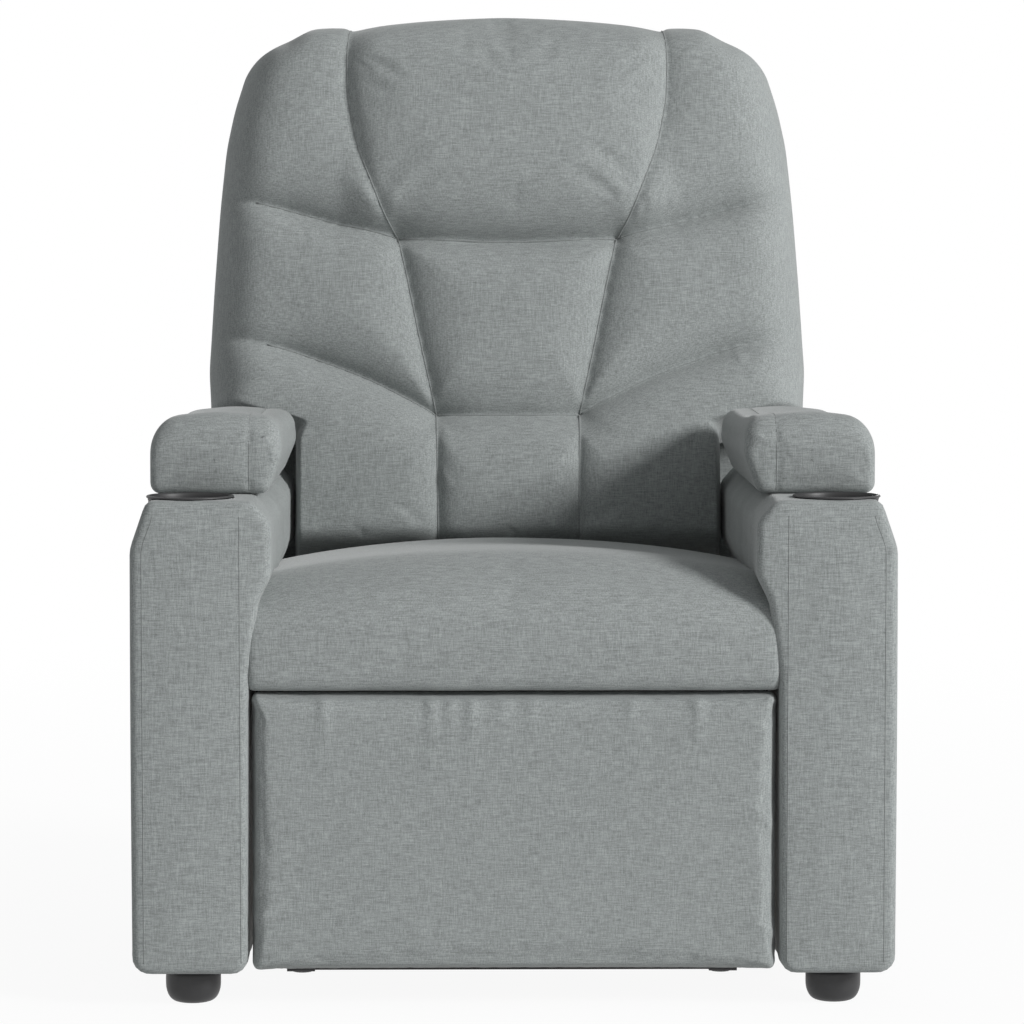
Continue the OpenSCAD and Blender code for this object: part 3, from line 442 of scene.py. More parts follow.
PALE, DARK = linear(170, 175, 174), linear(119, 123, 122)
cloth = weave("linen_cloth", PALE, DARK)
cloth_back = weave("linen_cloth_on_the_back", PALE, DARK, turn=(-LEAN, 0, 0))
# the thread is real, but its grey, darker than the cloth's, also paints the shade line in the bottoms of the
# seams
thread = weave("sewing_thread_painted_shade", linear(150, 154, 153), linear(118, 122, 121))
black = plastic("black_moulding", (0.021, 0.021, 0.022), 0.48)
black_gloss = plastic("cup_moulding", (0.020, 0.020, 0.021), 0.5)
frame_paint = metal("black_powder_coat", (0.030, 0.030, 0.032), 0.0, 0.5, wear=(0.10, 0.10, 0.105))
link_paint = metal("grey_coat_on_links", (0.085, 0.087, 0.092), 0.35, 0.42, wear=(0.22, 0.22, 0.23))
bright = metal("zinc_plate", (0.60, 0.60, 0.62), 1.0, 0.3, (1, 1, 12), 180.0)
wire = metal("spring_wire", (0.32, 0.32, 0.34), 1.0, 0.4, (1, 1, 1), 400.0, wear=(0.16, 0.13, 0.11))
pine = timber("pine_rail", linear(214, 178, 126), linear(170, 126, 78), (7, 110, 110))
ply = timber("plywood", linear(208, 174, 128), linear(166, 126, 84), (90, 60, 9))
button_face = plastic("button_face", (0.42, 0.43, 0.44), 0.3, 500.0, 0.00003, 0.3)


# ------------------------------------------------------------------ back cushion
def on_back(x, v, w):
    """Places x across, v up and w out of the back into the upright chair."""
    return np.stack([x, HINGE_Y + math.sin(LEAN) * v - math.cos(LEAN) * w,
                     HINGE_Z + math.cos(LEAN) * v + math.sin(LEAN) * w], -1)


# how far the sides are drawn in at each drop below the shoulders
SIDE_DROP = [-0.030, -0.012, 0, 0.011, 0.036, 0.085, 0.135, 0.210, 0.308, 0.407, 0.455, 0.700]
SIDE_INSET = [0.130, 0.098, 0.078, 0.058, 0.040, 0.027, 0.018, 0.011, 0.005, 0.0, 0.003, 0.006]


def back_half(v):
    """Half-width of the back at the height v: the mean of five shifted readings of the table, so that
    its corners are eased; between the arms the back is only as wide as they leave."""
    drop = BACK_V - v
    shifts = (-0.010, -0.005, 0, 0.005, 0.010)
    inset = sum(np.interp(drop + shift, SIDE_DROP, SIDE_INSET) for shift in shifts) / 5
    wide = BACK_HALF - inset
    narrow = BULGE - ARM_GAP
    return narrow + (wide - narrow) * smoothstep(*OVER_ARMS, v)


def back_top(x):
    """Height of the top edge: the head pillow stands above the shoulders and dips at its corners by
    the power 2.6 of x; a smooth step leads from one to the other."""
    a = np.abs(x)
    head = 0.6975 - 0.011 * (a / 0.185) ** 2.6
    shoulder = 0.691 - 0.010 * smoothstep(0.225, 0.262, a)
    return head + (shoulder - head) * smoothstep(0.180, 0.192, a)


def from_line(x, v, line):
    """Distance of each point from a chain of straight stretches, and how far along the nearest place
    is, from 0 to 1."""
    line = np.asarray(line, float)
    best = np.full(x.shape, 9.0)
    along = np.zeros(x.shape)
    run = 0.0
    for a, b in zip(line[:-1], line[1:]):
        d = b - a
        length = math.hypot(*d)
        t = np.clip(((x - a[0]) * d[0] + (v - a[1]) * d[1]) / length ** 2, 0, 1)
        gap = np.hypot(x - a[0] - t * d[0], v - a[1] - t * d[1])
        nearer = gap < best
        along = np.where(nearer, run + t * length, along)
        best = np.where(nearer, gap, best)
        run += length
    return best, along / run


def softened(line, count=40, passes=6):
    """A chain walked at even steps, with its corners eased by averages of neighbours."""
    pts = evenly(np.asarray(line, float), count, closed=False)
    for _ in range(passes):
        pts[1:-1] = (pts[:-2] + 2 * pts[1:-1] + pts[2:]) / 4
    return pts


HEAD_SIDE = softened([(0.128, 0.421), (0.143, 0.440), (0.154, 0.468), (0.175, 0.523), (0.187, 0.584),
                      (0.188, 0.640), (0.184, 0.688)])
HEAD_LOW = softened([(-0.128, 0.421), (-0.060, 0.416), (0.0, 0.4145), (0.060, 0.416), (0.128, 0.421)])
CENTRE_SIDE = softened([(0.128, 0.421), (0.117, 0.372), (0.101, 0.291), (0.083, 0.209)])
CENTRE_LOW = softened([(-0.083, 0.209), (-0.04, 0.206), (0.04, 0.206), (0.083, 0.209)])
UPPER_V = softened([(0.128, 0.421), (0.200, 0.438), (0.262, 0.456), (0.308, 0.467), (0.352, 0.476)])
LOWER_V = softened([(0.083, 0.209), (0.165, 0.253), (0.212, 0.272), (0.253, 0.287), (0.312, 0.301),
                    (0.352, 0.310)])
LUMBAR_SIDE = softened([(0.083, 0.209), (0.082, 0.160), (0.080, 0.020)])
# seam, depth of the channel, width of the channel, how deep it still is at its outer end, both sides
BACK_SEAMS = [(HEAD_SIDE, 0.014, 0.034, 0.8, True), (HEAD_LOW, 0.037, 0.054, 1.0, False),
              (CENTRE_SIDE, 0.025, 0.060, 1.0, True), (CENTRE_LOW, 0.036, 0.084, 1.0, False),
              (UPPER_V, 0.036, 0.060, 0.38, True), (LOWER_V, 0.038, 0.068, 0.38, True),
              (LUMBAR_SIDE, 0.018, 0.040, 1.0, True)]


STEEP = 0.93                                         # at 1 the sides of a crease would end upright
GAIN = 1.15                                          # how far its depth is drawn out
STITCH = 0.0065                                      # half-width of the cloth that a seam holds down


def back_channels(x, v):
    """Depth of the sewn creases: beside a seam the panels round off as circles of radius r, so the
    depth goes as 1 - (1 - 0.93 (1 - d/r)^2)^0.5 with the distance d. Where two seams meet, the
    deeper counts in full and the other by a quarter. Also how firmly each place is sewn down."""
    a = np.abs(x)
    depth = np.zeros(x.shape)
    sewn = np.zeros(x.shape)
    for line, deep, wide, end, twin in BACK_SEAMS:
        gap, along = from_line(a if twin else x, v, line)
        fade = 1.0 + (end - 1.0) * smoothstep(0.50, 1.0, along)
        near = 1 - np.clip(gap / wide, 0, 1)
        crease = deep * fade * (1 - np.sqrt(1 - near ** 2 * STEEP)) * GAIN
        depth = np.maximum(depth, crease) + 0.25 * np.minimum(depth, crease)
        sewn = np.maximum(sewn, fade * np.exp(-(gap / STITCH) ** 4))
    return depth, sewn


def back_face(x, v):
    """Stand-off of the back's front: a body that falls away to the sides, a fuller head, a lumbar
    swell and a slight waist between them."""
    a = np.abs(x)
    body = 0.174 - 0.016 * (a / 0.34) ** 2.2
    head = 0.014 * smoothstep(0.40, 0.47, v) * (1 - smoothstep(0.150, 0.200, a))
    head = head * (1 - 0.55 * smoothstep(0.60, 0.70, v))
    lumbar = 0.012 * np.exp(-((v - 0.150) / 0.085) ** 2) * (1 - 0.6 * (a / 0.34) ** 2)
    waist = -0.008 * np.exp(-((v - 0.34) / 0.10) ** 2)
    return body + head + lumbar + waist


def make_back():
    """Front and rear faces over one border. Along the border both meet at the stand-off RIM; towards
    the middle each rises by the rounding of its edges."""
    n, m = ((159, 181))
    column, row = np.linspace(-1, 1, n)[None, :], np.linspace(0, 1, m)[:, None]
    s = 0.55 * column + 0.45 * np.sin(column * math.pi / 2)
    t = 0.55 * row + 0.45 * (1 - np.cos(row * math.pi)) / 2
    level = BACK_LOW + t * (BACK_EDGE - BACK_LOW)
    half = back_half(np.minimum(level, 0.690))
    x = s * half
    v = level + (back_top(x) - BACK_EDGE) * smoothstep(0.72, 1.0, t)
    x = x + 0 * v
    side_gap = half - np.abs(x)
    top_gap = np.maximum(back_top(x) - v, 0)
    low_gap = np.maximum(v - BACK_LOW, 0)
    depth, sewn = back_channels(x, v)
    edge = rise((side_gap, 0.010 + 0.065 * smoothstep(0.17, 0.26, v)), (top_gap, 0.060), (low_gap, 0.030))
    front = on_back(x, v, RIM + (back_face(x, v) - depth - RIM) * edge)
    rear = on_back(x, v, RIM - (RIM - 0.0175) * rise((side_gap, 0.022), (top_gap, 0.022), (low_gap, 0.02)))
    border = border_of(x)
    rear[border] = front[border]
    piece = outward(two_faced("back_cushion", front, rear))
    held = np.concatenate([np.maximum(sewn, 1 - smoothstep(0.0, 0.35, edge)).ravel(),
                           np.ones(int((~border).sum()))])
    ear = 1 - smoothstep(0.225, 0.260, v.ravel())
    outer = smoothstep(0.225, 0.243, np.abs(x.ravel()))
    held[:x.size] = np.maximum(held[:x.size], ear * outer)
    stuffed(piece, held, 0.010, 0.0, 3.0)
    return piece


def pressed_out(piece, bumps):
    """Adds small folds: each is a ridge along a short stretch from (x0, v0) to (x1, v1), as a bell
    across it and a half sine along it."""
    co = points_of(piece)
    rel = co - np.array([0, HINGE_Y, HINGE_Z])
    v = rel[:, 1] * math.sin(LEAN) + rel[:, 2] * math.cos(LEAN)
    out = np.array([0, -math.cos(LEAN), math.sin(LEAN)])
    w = rel @ out
    for x0, v0, x1, v1, wide, high in bumps:
        d = np.array([x1 - x0, v1 - v0])
        length = np.linalg.norm(d)
        t = ((co[:, 0] - x0) * d[0] + (v - v0) * d[1]) / length ** 2
        gap = np.abs((co[:, 0] - x0) * d[1] - (v - v0) * d[0]) / length
        lift = high * np.exp(-(gap / wide) ** 2) * np.sin(np.clip(t, 0, 1) * math.pi) * (w > 0.06)
        co = co + lift[:, None] * out
    put_points(piece, co)
    return piece


SINK = 0.0003                                        # how far a thread's middle lies in the cloth


def seam_tubes(name, piece, lines, direction, origin_gap, radius):
    """Thread in the bottom of a seam; its grey, darker than the cloth, also paints the seam's shade line.
    Points of each line are cast onto the piece from origin_gap in front of them, and a tube follows
    those that meet it."""
    graph = bpy.context.evaluated_depsgraph_get()
    tree = BVHTree.FromObject(piece, graph)
    tubes = []
    for line in lines:
        hit_points = []
        for p in line:
            hit = tree.ray_cast(Vector(p) - Vector(direction) * origin_gap, Vector(direction))
            if hit[0] is not None:
                hit_points.append(np.array(hit[0]) + np.array(direction) * SINK)
        if len(hit_points) > 2:
            tubes.append(tube("thread_part", np.array(hit_points), radius))
    return joined(name, tubes)


back = make_back()
pressed_out(back, [
    (0.165, 0.443, 0.170, 0.470, 0.004, 0.0035), (0.176, 0.446, 0.183, 0.474, 0.004, 0.0035),
    (0.190, 0.450, 0.197, 0.478, 0.004, 0.003), (0.150, 0.437, 0.153, 0.458, 0.004, 0.003),
    (-0.079, 0.196, -0.066, 0.172, 0.004, 0.002), (-0.079, 0.140, -0.066, 0.112, 0.005, 0.0018),
    (0.262, 0.285, 0.276, 0.268, 0.004, 0.0025), (-0.255, 0.262, -0.235, 0.250, 0.005, 0.002),
    (-0.232, 0.430, -0.226, 0.410, 0.004, 0.0022)])
finished(back)
into_back = (0.0, math.cos(LEAN), -math.sin(LEAN))
threads = []
for line, _, _, end, twin in BACK_SEAMS:
    for side in ((1, -1) if twin else (1,)):
        keep = line if end > 0.5 else line[:30]
        threads.append(on_back(side * keep[:, 0], keep[:, 1], np.full(len(keep), 0.2)))
# the back's thread is drawn thicker than the arms' and pads' (1.1 mm against 0.7 mm), so that its dark line
# also paints the shadow in the creases, most of all under the head pillow
back_thread_painted_shadow = seam_tubes("back_seam_thread_painted_shadow", back, threads, into_back, 0.15, 0.0011)


# ------------------------------------------------------------------ seat cushion
SEAT_HALF = ARM_IN - 0.0015
SEAT_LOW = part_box("seat_cushion")[0].z
SEAT_BASE = 0.3619                                   # underside behind the front roll
SEAT_REAR = FRONT + 0.500
SEAT_H = 0.443                                       # top at the sides
CROWN = 0.024
LIP_Y = FRONT + 0.077                                # rear of the front roll


def make_seat():
    """Side-view rings across the seat. The top is a crown, 1 - |x|^2.4, and every ring near a side is
    drawn in as a quarter ellipse of the distance from that side. The tuck below the front ripples by
    a sum of sines."""
    n = 121
    x = np.sin(np.linspace(-1, 1, n) * math.pi / 2) * SEAT_HALF
    gap = (SEAT_HALF - np.abs(x)) / 0.009
    inset = 0.008 * (1 - np.sqrt(np.maximum(1 - np.clip(1 - gap, 0, 1) ** 2, 0)))
    rings = []
    for xi, ins in zip(x, inset):
        top = SEAT_H + 0.001 - ins + CROWN * (1 - (abs(xi) / SEAT_HALF) ** 2.4)
        y0, y1 = FRONT + 0.003 + ins * 0.6, SEAT_REAR - ins
        low, base = SEAT_LOW - 0.0012 + ins * 0.3, SEAT_BASE + 0.001
        outline = filleted(
            [(y1 - 0.003, top - 0.019), (y0 + 0.062, top + 0.001), (y0 + 0.001, top - 0.034),
             (y0, low + 0.014), (y0 + 0.007, low), (LIP_Y - 0.001, low), (LIP_Y - 0.001, base), (y1, base)],
            [0.030, 0.080, 0.045, 0.016, 0.007, 0.008, 0.003, 0.012], 10)
        ring = evenly(outline, 150)
        rings.append(np.stack([np.full(len(ring), xi), ring[:, 0], ring[:, 1]], -1))
    piece = outward(ringed("seat_pad", np.array(rings)))
    co = points_of(piece)
    held = np.maximum(1 - smoothstep(0.0, 0.012, co[:, 2] - SEAT_BASE),
                      (co[:, 1] > LIP_Y - 0.004) * (co[:, 2] < SEAT_BASE + 0.002))
    held = np.maximum(held, 1 - smoothstep(0.004, 0.028, co[:, 2] - SEAT_LOW))
    held = np.where((co[:, 1] < LIP_Y) & (co[:, 2] > SEAT_LOW + 0.028), 0, held)
    held = np.maximum(held, 0.75 * smoothstep(SEAT_HALF - 0.02, SEAT_HALF - 0.003, np.abs(co[:, 0])))
    stuffed(piece, held, 0.006, 0.0, 3.0)
    co = points_of(piece)
    front = 1 - smoothstep(FRONT + 0.03, FRONT + 0.09, co[:, 1])
    tuck = np.exp(-((co[:, 2] - SEAT_LOW) / 0.016) ** 2)
    ripple = np.sin(co[:, 0] * 47.0 + 1.3) * 0.5 + np.sin(co[:, 0] * 113.0 + 0.4) * 0.3
    ripple = ripple + np.sin(co[:, 0] * 29.0) * 0.5
    co[:, 1] += front * tuck * 0.0012 * ripple
    co[:, 1] = np.maximum(co[:, 1], FRONT - 0.010)
    put_points(piece, co)
    return piece


seat = make_seat()
finished(seat)


# ------------------------------------------------------------------ arms
def arm_outline():
    """Front view of the right arm in x and z: straight outside with a rounded shoulder, flat top, and a
    padded swell on the inner side that fades beside the seat; the corners are arcs."""
    corners = [(ARM_IN, ARM_LOW), (ARM_OUT, ARM_LOW), (ARM_OUT, ARM_TOP - 0.050), (ARM_OUT - 0.017, ARM_TOP),
               (BULGE + 0.020, ARM_TOP), (BULGE, ARM_TOP - 0.022), (BULGE, 0.450), (ARM_IN - 0.013, 0.424),
               (ARM_IN - 0.002, 0.345)]
    return filleted(corners, [0.016, 0.018, 0.040, 0.012, 0.016, 0.020, 0.030, 0.020, 0.060], 10)


def bolster(name, outline, spine, y0, y1, nose, tail, swell, count, rows):
    """Rings of an outline in x and z along y, drawn in at each end by a quarter circle and closed by
    rings that shrink towards an upright line, spine = (x, low z, high z), on a face that swells. The
    nose radius is one number or a function of the height."""
    base = evenly(outline, count)
    inward = inward_of(base)
    round_off = nose(base[:, 1])[:, None] if callable(nose) else np.full((count, 1), nose)
    turn = np.linspace(0, math.pi / 2, 7)
    stations = [(y0 + round_off * (1 - math.sin(a)), round_off * (1 - math.cos(a)))
                for a in turn[::-1]]
    start = y0 + 1.4 * round_off
    stations += [(start + (y1 - 1.4 * tail - start) * k, 0.0) for k in np.linspace(0, 1, rows)]
    stations += [(y1 - tail * (1 - math.sin(a)), tail * (1 - math.cos(a))) for a in turn]
    body = []
    for y, inset in stations:
        p = base + inward * inset
        body.append(np.stack([p[:, 0], np.broadcast_to(y, (count, 1))[:, 0], p[:, 1]], -1))

    def cap(edge, sign):
        """Eleven rings from an end ring down to the spine; the face swells by 1 - k^2."""
        line = np.stack([np.full(count, spine[0]), edge[:, 1], np.clip(edge[:, 2], spine[1], spine[2])], -1)
        out = []
        for k in np.linspace(1, 0, 12)[1:]:
            p = line + (edge - line) * k
            p[:, 1] = edge[:, 1] - sign * swell * (1 - k ** 2)
            out.append(p)
        return out

    return outward(ringed(name, np.array(cap(body[0], 1)[::-1] + body + cap(body[-1], -1))))


CUP_X, CUP_Y = (ARM_IN + ARM_OUT) / 2, FRONT + 0.052
WORD = {1: "right", -1: "left"}


def make_arm(side):
    """The bolster of an arm, with slack in its outer side, soft waves along the padded inner one and
    a well for the cup."""
    piece = bolster("arm_cover_" + WORD[side], arm_outline(), (CUP_X, ARM_LOW + 0.060, ARM_TOP - 0.060),
                    FRONT + 0.0015, ARM_END, 0.009, 0.008, 0.0022, 180, 84)
    co = points_of(piece)
    slack = np.exp(-((co[:, 1] - FRONT - 0.33) / 0.26) ** 2)
    outer = smoothstep(ARM_OUT - 0.02, ARM_OUT, co[:, 0])
    tall = np.sin(np.clip((co[:, 2] - ARM_LOW) / (ARM_TOP - ARM_LOW), 0, 1) * math.pi)
    pocket_zone = 0.0
    if side > 0:
        pocket_zone = np.exp(-((co[:, 1] + 0.057) / 0.13) ** 4 - ((co[:, 2] - 0.37) / 0.16) ** 4)
    co[:, 0] += 0.0028 * slack * outer * tall * (1 - pocket_zone)
    inner = (co[:, 0] < ARM_IN + 0.03) & (co[:, 2] > ARM_TOP - 0.10)
    wave = np.sin(co[:, 1] * 31 + 0.6 * side) + 0.6 * np.sin(co[:, 1] * 67 + 1.9)
    co[:, 0] += inner * 0.0011 * wave * smoothstep(FRONT + 0.02, FRONT + 0.10, co[:, 1])
    hem = np.exp(-((co[:, 2] - ARM_LOW - 0.012) / 0.010) ** 2)
    co[:, 0] += hem * 0.0006 * np.sin(co[:, 1] * 83)
    co[:, 0] *= side
    put_points(piece, co)
    outward(piece)
    well = (side * CUP_X, CUP_Y, ARM_TOP - CUP_DEEP)
    cutter = lathe("well_cutter", well, [(CUP_WELL, 0.0), (CUP_WELL, 0.16)], 64)
    m = piece.modifiers.new("well", "BOOLEAN")
    m.object, m.operation, m.solver = cutter, "DIFFERENCE", "EXACT"
    applied(piece)
    bpy.data.objects.remove(cutter)
    return piece


def make_pad(side):
    """The bolster of a pad: square outside, round over its outer top edge, with a full inner cheek
    that draws in at the foot and a height that grows to the front as a bell; stuffed as cloth with
    its lower border held."""
    lo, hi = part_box("arm_pad_right")
    x0, x1, h = lo.x + 0.004, hi.x + 0.002, hi.z - lo.z - 0.004
    middle = (x0 + x1) / 2
    corners = [(x1, 0.0), (x1, h - 0.004), (middle, h + 0.003), (x0, h - 0.002), (x0 - 0.003, 0.036),
               (x0 + 0.012, 0.0)]
    outline = filleted(corners, [0.010, 0.032, 0.200, 0.030, 0.026, 0.010], 10)
    piece = bolster("pad_" + WORD[side], outline, (middle, 0.030, h - 0.030), lo.y + 0.001, hi.y - 0.002,
                    lambda z: 0.010 + 0.018 * smoothstep(0.030, 0.074, z), 0.028, 0.0025, 150, 60)
    co = points_of(piece)
    co[:, 2] *= 1 + 0.15 * np.exp(-((co[:, 1] - lo.y - 0.035) / 0.11) ** 2)
    put_points(piece, co)
    held = 1 - smoothstep(0.001, 0.012, co[:, 2])
    held = np.maximum(held, 0.6 * (co[:, 1] < lo.y + 0.010))
    stuffed(piece, held, 0.0035, 0.01, 2.5)
    co = points_of(piece)
    co[:, 2] = np.maximum(co[:, 2], 0.0)
    seam = np.exp(-((co[:, 0] - x0 - 0.031) / 0.0035) ** 2)
    co[:, 2] -= 0.0008 * seam * smoothstep(0.045, 0.060, co[:, 2])
    co[:, 1] += 0.0016 * seam * (co[:, 1] < lo.y + 0.008) * smoothstep(0.0, 0.006, co[:, 2])
    co[:, 2] += lo.z + 0.0003
    co[:, 0] *= side
    put_points(piece, co)
    return outward(piece)


arms = {1: make_arm(1), -1: make_arm(-1)}
pads = {1: finished(make_pad(1)), -1: finished(make_pad(-1))}


def arm_threads(side):
    """The seam down each edge of the arm's front face and across its top, as a thin thread."""
    z = np.linspace(ARM_LOW + 0.012, ARM_TOP - 0.016, 90)
    lines = []
    for at in (ARM_IN + 0.0065, ARM_OUT - 0.0125):
        inward = 0.012 * smoothstep(ARM_TOP - 0.055, ARM_TOP - 0.010, z) if at > CUP_X else 0.0
        lines.append(np.stack([side * (at - inward + 0 * z), np.full(len(z), FRONT - 0.05), z], -1))
    return seam_tubes("arm_seams_" + WORD[side], arms[side], lines, (0, 1, 0), 0.05, 0.0007)


def pad_threads(side):
    """The pad's cheek seam: up the front face, over the edge and back along the top."""
    lo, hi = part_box("arm_pad_right")
    at = lo.x + 0.035
    z = np.linspace(lo.z + 0.004, hi.z - 0.020, 24)
    front_line = np.stack([side * (at + 0 * z), np.full(24, lo.y - 0.06), z], -1)
    y = np.linspace(lo.y + 0.006, hi.y - 0.012, 70)
    back_line = np.stack([side * (at + 0 * y), y, np.full(70, hi.z + 0.05)], -1)
    a = seam_tubes("pad_front_thread", pads[side], [front_line], (0, 1, 0), 0.05, 0.0007)
    b = seam_tubes("pad_top_thread", pads[side], [back_line], (0, 0, -1), 0.05, 0.0007)
    return joined("pad_seams_" + WORD[side], [a, b])


arm_seams = {s: arm_threads(s) for s in (1, -1)}
pad_seams = {s: pad_threads(s) for s in (1, -1)}


# ------------------------------------------------------------------ footrest panel
def make_footrest():
    """A flat pad from two faces over one border, with a small round edge, gathers that fade downwards
    under the crease, as bells across, and slack folds along both sides."""
    lo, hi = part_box("footrest_panel")
    over = 0.0006                                    # the pad's top goes over the solid's by twice this
    hx, hz = (hi.x - lo.x) / 2, (hi.z - lo.z) / 2 + over
    cz = (hi.z + lo.z) / 2 + over
    thick = hi.y - lo.y
    n, m = 159, 71
    s = np.sin(np.linspace(-1, 1, n) * math.pi / 2)[None, :]
    t = np.sin(np.linspace(-1, 1, m) * math.pi / 2)[:, None]
    corner = 0.010
    q = 1 - np.clip((np.abs(t) * hz - (hz - corner)) / corner, 0, 1) ** 2
    half = hx - corner * (1 - np.sqrt(np.maximum(q, 0.0))) * 0.7
    x, z = s * half, t * hz + 0 * s
    side_gap = half - np.abs(x)
    rim = 0.016
    front = rim + (thick - 0.004 - rim) * rise((side_gap, 0.008), (z + hz, 0.008), (hz - z, 0.007))
    rear = rim - rim * rise((side_gap, 0.010), (z + hz, 0.010), (hz - z, 0.010))
    gathers = np.zeros_like(x)
    for at, wide, high, long in (
            (-0.196, 0.007, 0.0024, 0.034), (-0.085, 0.006, 0.0030, 0.044), (-0.066, 0.006, 0.0026, 0.030),
            (-0.044, 0.006, 0.0028, 0.040), (-0.012, 0.008, 0.0018, 0.028), (0.018, 0.007, 0.0018, 0.034),
            (0.188, 0.007, 0.0026, 0.040), (0.120, 0.007, 0.0014, 0.026)):
        gathers += high * np.exp(-((x - at) / wide) ** 2) * np.exp(-((hz - z) / long) ** 1.4)
    for at, wide, high, sign in (
            (-0.088, 0.010, 0.0030, -1), (-0.060, 0.008, 0.0024, -1), (-0.030, 0.010, 0.0018, -1),
            (-0.104, 0.008, 0.0018, 1), (0.010, 0.011, 0.0016, 1)):
        slope = z - at + 0.4 * (np.abs(x) - hx)
        gathers += high * np.exp(-((hx - sign * x) / 0.032) ** 2) * np.exp(-(slope / wide) ** 2)
    face = np.stack([x, -(front + gathers), z], -1)
    back_side = np.stack([x, -rear, z], -1)
    border = border_of(x)
    back_side[border] = face[border]
    piece = outward(two_faced("footrest_pad", face, back_side))
    co = points_of(piece)
    held = np.maximum(1 - smoothstep(0.004, 0.022, -co[:, 1]), 0)
    stuffed(piece, held, 0.0035, 0.012, 0.5)
    co = points_of(piece)
    co[:, 1] = np.minimum(co[:, 1], 0)
    put_points(piece, co + np.array([0, hi.y, cz]))
    return piece


footrest = finished(make_footrest())


# ------------------------------------------------------------------ outside of the back
def make_outside_back():
    """The flat outside back with its boxing: rings of the CAD cover's own outline, carried from the
    rear face round a small radius to the cushion, and a face that swells by 4.5 mm times 1 - k^3,
    where k goes from 0 in the middle to 1 at its edge."""
    inset = 0.006
    v = BACK_V - inset - np.array(SIDE_DROP[2:-1] + [0.560])[::-1]
    half = np.minimum(back_half(np.maximum(v, 0.24)) - 0.004 - inset, 0.346)
    right = [(0.234, -0.016), (0.234, 0.034), (0.316, 0.034), (0.338, 0.100)] + [
        (h, k) for h, k in zip(half, v) if k > 0.13] + [(0.200, BACK_V - 0.003), (0.0, BACK_V - 0.001)]
    corners = right + [(-a, b) for a, b in right[-2::-1]]
    outline = filleted(corners, [0.016] * len(corners), 6)
    base = evenly(outline, 260)
    inward = inward_of(base)
    w_rear, w_front, radius = -0.0353, 0.0165, 0.008
    rings = []
    middle = np.array([0.0, 0.34])
    for k in np.linspace(0.06, 0.94, 12):
        p = middle + (base + inward * 0.010 - middle) * k
        swell = 0.0045 * (1 - k ** 3)
        rings.append(on_back(p[:, 0], p[:, 1], np.full(len(p), w_rear - swell)))
    for a in np.linspace(0, math.pi / 2, 6):
        p = base + inward * radius * (1 - math.sin(a))
        rings.append(on_back(p[:, 0], p[:, 1], np.full(len(p), w_rear + radius * (1 - math.cos(a)))))
    for w in np.linspace(w_rear + 0.014, w_front, 6):
        rings.append(on_back(base[:, 0], base[:, 1], np.full(len(base), w)))
    inner = base + inward * 0.012
    rings.append(on_back(inner[:, 0], inner[:, 1], np.full(len(base), w_front)))
    rings.append(on_back(inner[:, 0], inner[:, 1], np.full(len(base), w_rear + 0.010)))
    rings = np.array(rings)
    return outward(ringed("outside_back", rings, rings[0].mean(0), rings[-1].mean(0)))


outside_back = finished(make_outside_back())


# ------------------------------------------------------------------ pocket for the hand control
def make_pocket():
    """A patch pocket: a shell that bellies out by the product of its roundings at the sewn sides and
    foot, with slack folds as a sine and a turned hem at its mouth."""
    lo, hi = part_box("side_pocket")
    n, m = 60, 60
    s = np.linspace(-1, 1, n)[None, :]
    t = np.linspace(0, 1, m)[:, None]
    wide, tall = (hi.y - lo.y) / 2, hi.z - lo.z
    y = (lo.y + hi.y) / 2 + s * wide * (1 - 0.05 * (1 - np.minimum(t / 0.12, 1)) ** 2) + 0 * t
    z = lo.z + t * tall - 0.003 * (1 - s ** 2) * t ** 8
    belly = rise((1 - np.abs(s), 0.16), (t, 0.10))
    fold = 0.0012 * np.sin(s * 7 + t * 5) * t
    x = lo.x + 0.0085 + (hi.x - lo.x - 0.0105) * belly * (0.90 + 0.10 * t) + fold * belly
    outer = np.stack([x + 0 * s, y, z], -1)
    wall = np.array([0.0025, 0, 0])
    inner = outer[::-1] - wall
    rows = np.concatenate([outer, outer[-1:] + [[0.0004, 0, 0.0012]], inner[:1] + [[0.0, 0, 0.0012]], inner])
    return outward(piece_from("pocket_cloth", rows, lattice(len(rows), n, wrap_rows=True)))


pocket = make_pocket()

# ------------------------------------------------------------------ cup holders, feet
# each profile is turned as radius and height: the cup's outside, rim and inside, and a foot
CUP_PROFILE = [
    (0.0, -0.0695), (0.034, -0.0695), (0.0375, -0.066), (0.0405, -0.050), (0.0428, -0.020),
    (0.0430, 0.0003), (0.0452, 0.0003), (0.0456, 0.0011), (0.0453, 0.0022), (0.0444, 0.0028),
    (0.0430, 0.0030), (0.0415, 0.0024), (0.0408, 0.0006), (0.0402, -0.010), (0.0385, -0.046),
    (0.0365, -0.062), (0.0330, -0.0665), (0.0150, -0.0672), (0.0, -0.0674)]
FOOT_PROFILE = [
    (0.0, 0.0), (0.0155, 0.0002), (0.0205, 0.0014), (0.0242, 0.0042), (0.0268, 0.0085), (0.0284, 0.0140),
    (0.0289, 0.0190), (0.0287, 0.0300), (0.0284, 0.0385), (0.0, 0.0385)]
FOOT_IN = 0.062                                      # from the end of an arm to the middle of a foot

cups, feet = {}, {}
for side in (1, -1):
    cups[side] = finished(lathe("cup_liner_" + WORD[side], (side * CUP_X, CUP_Y, ARM_TOP), CUP_PROFILE))
for y in (FRONT + FOOT_IN, ARM_END - FOOT_IN):
    for side in (1, -1):
        name = "foot_%d" % (len(feet) + 1)
        feet[name] = finished(lathe(name, (side * CUP_X, y, 0.0), FOOT_PROFILE))

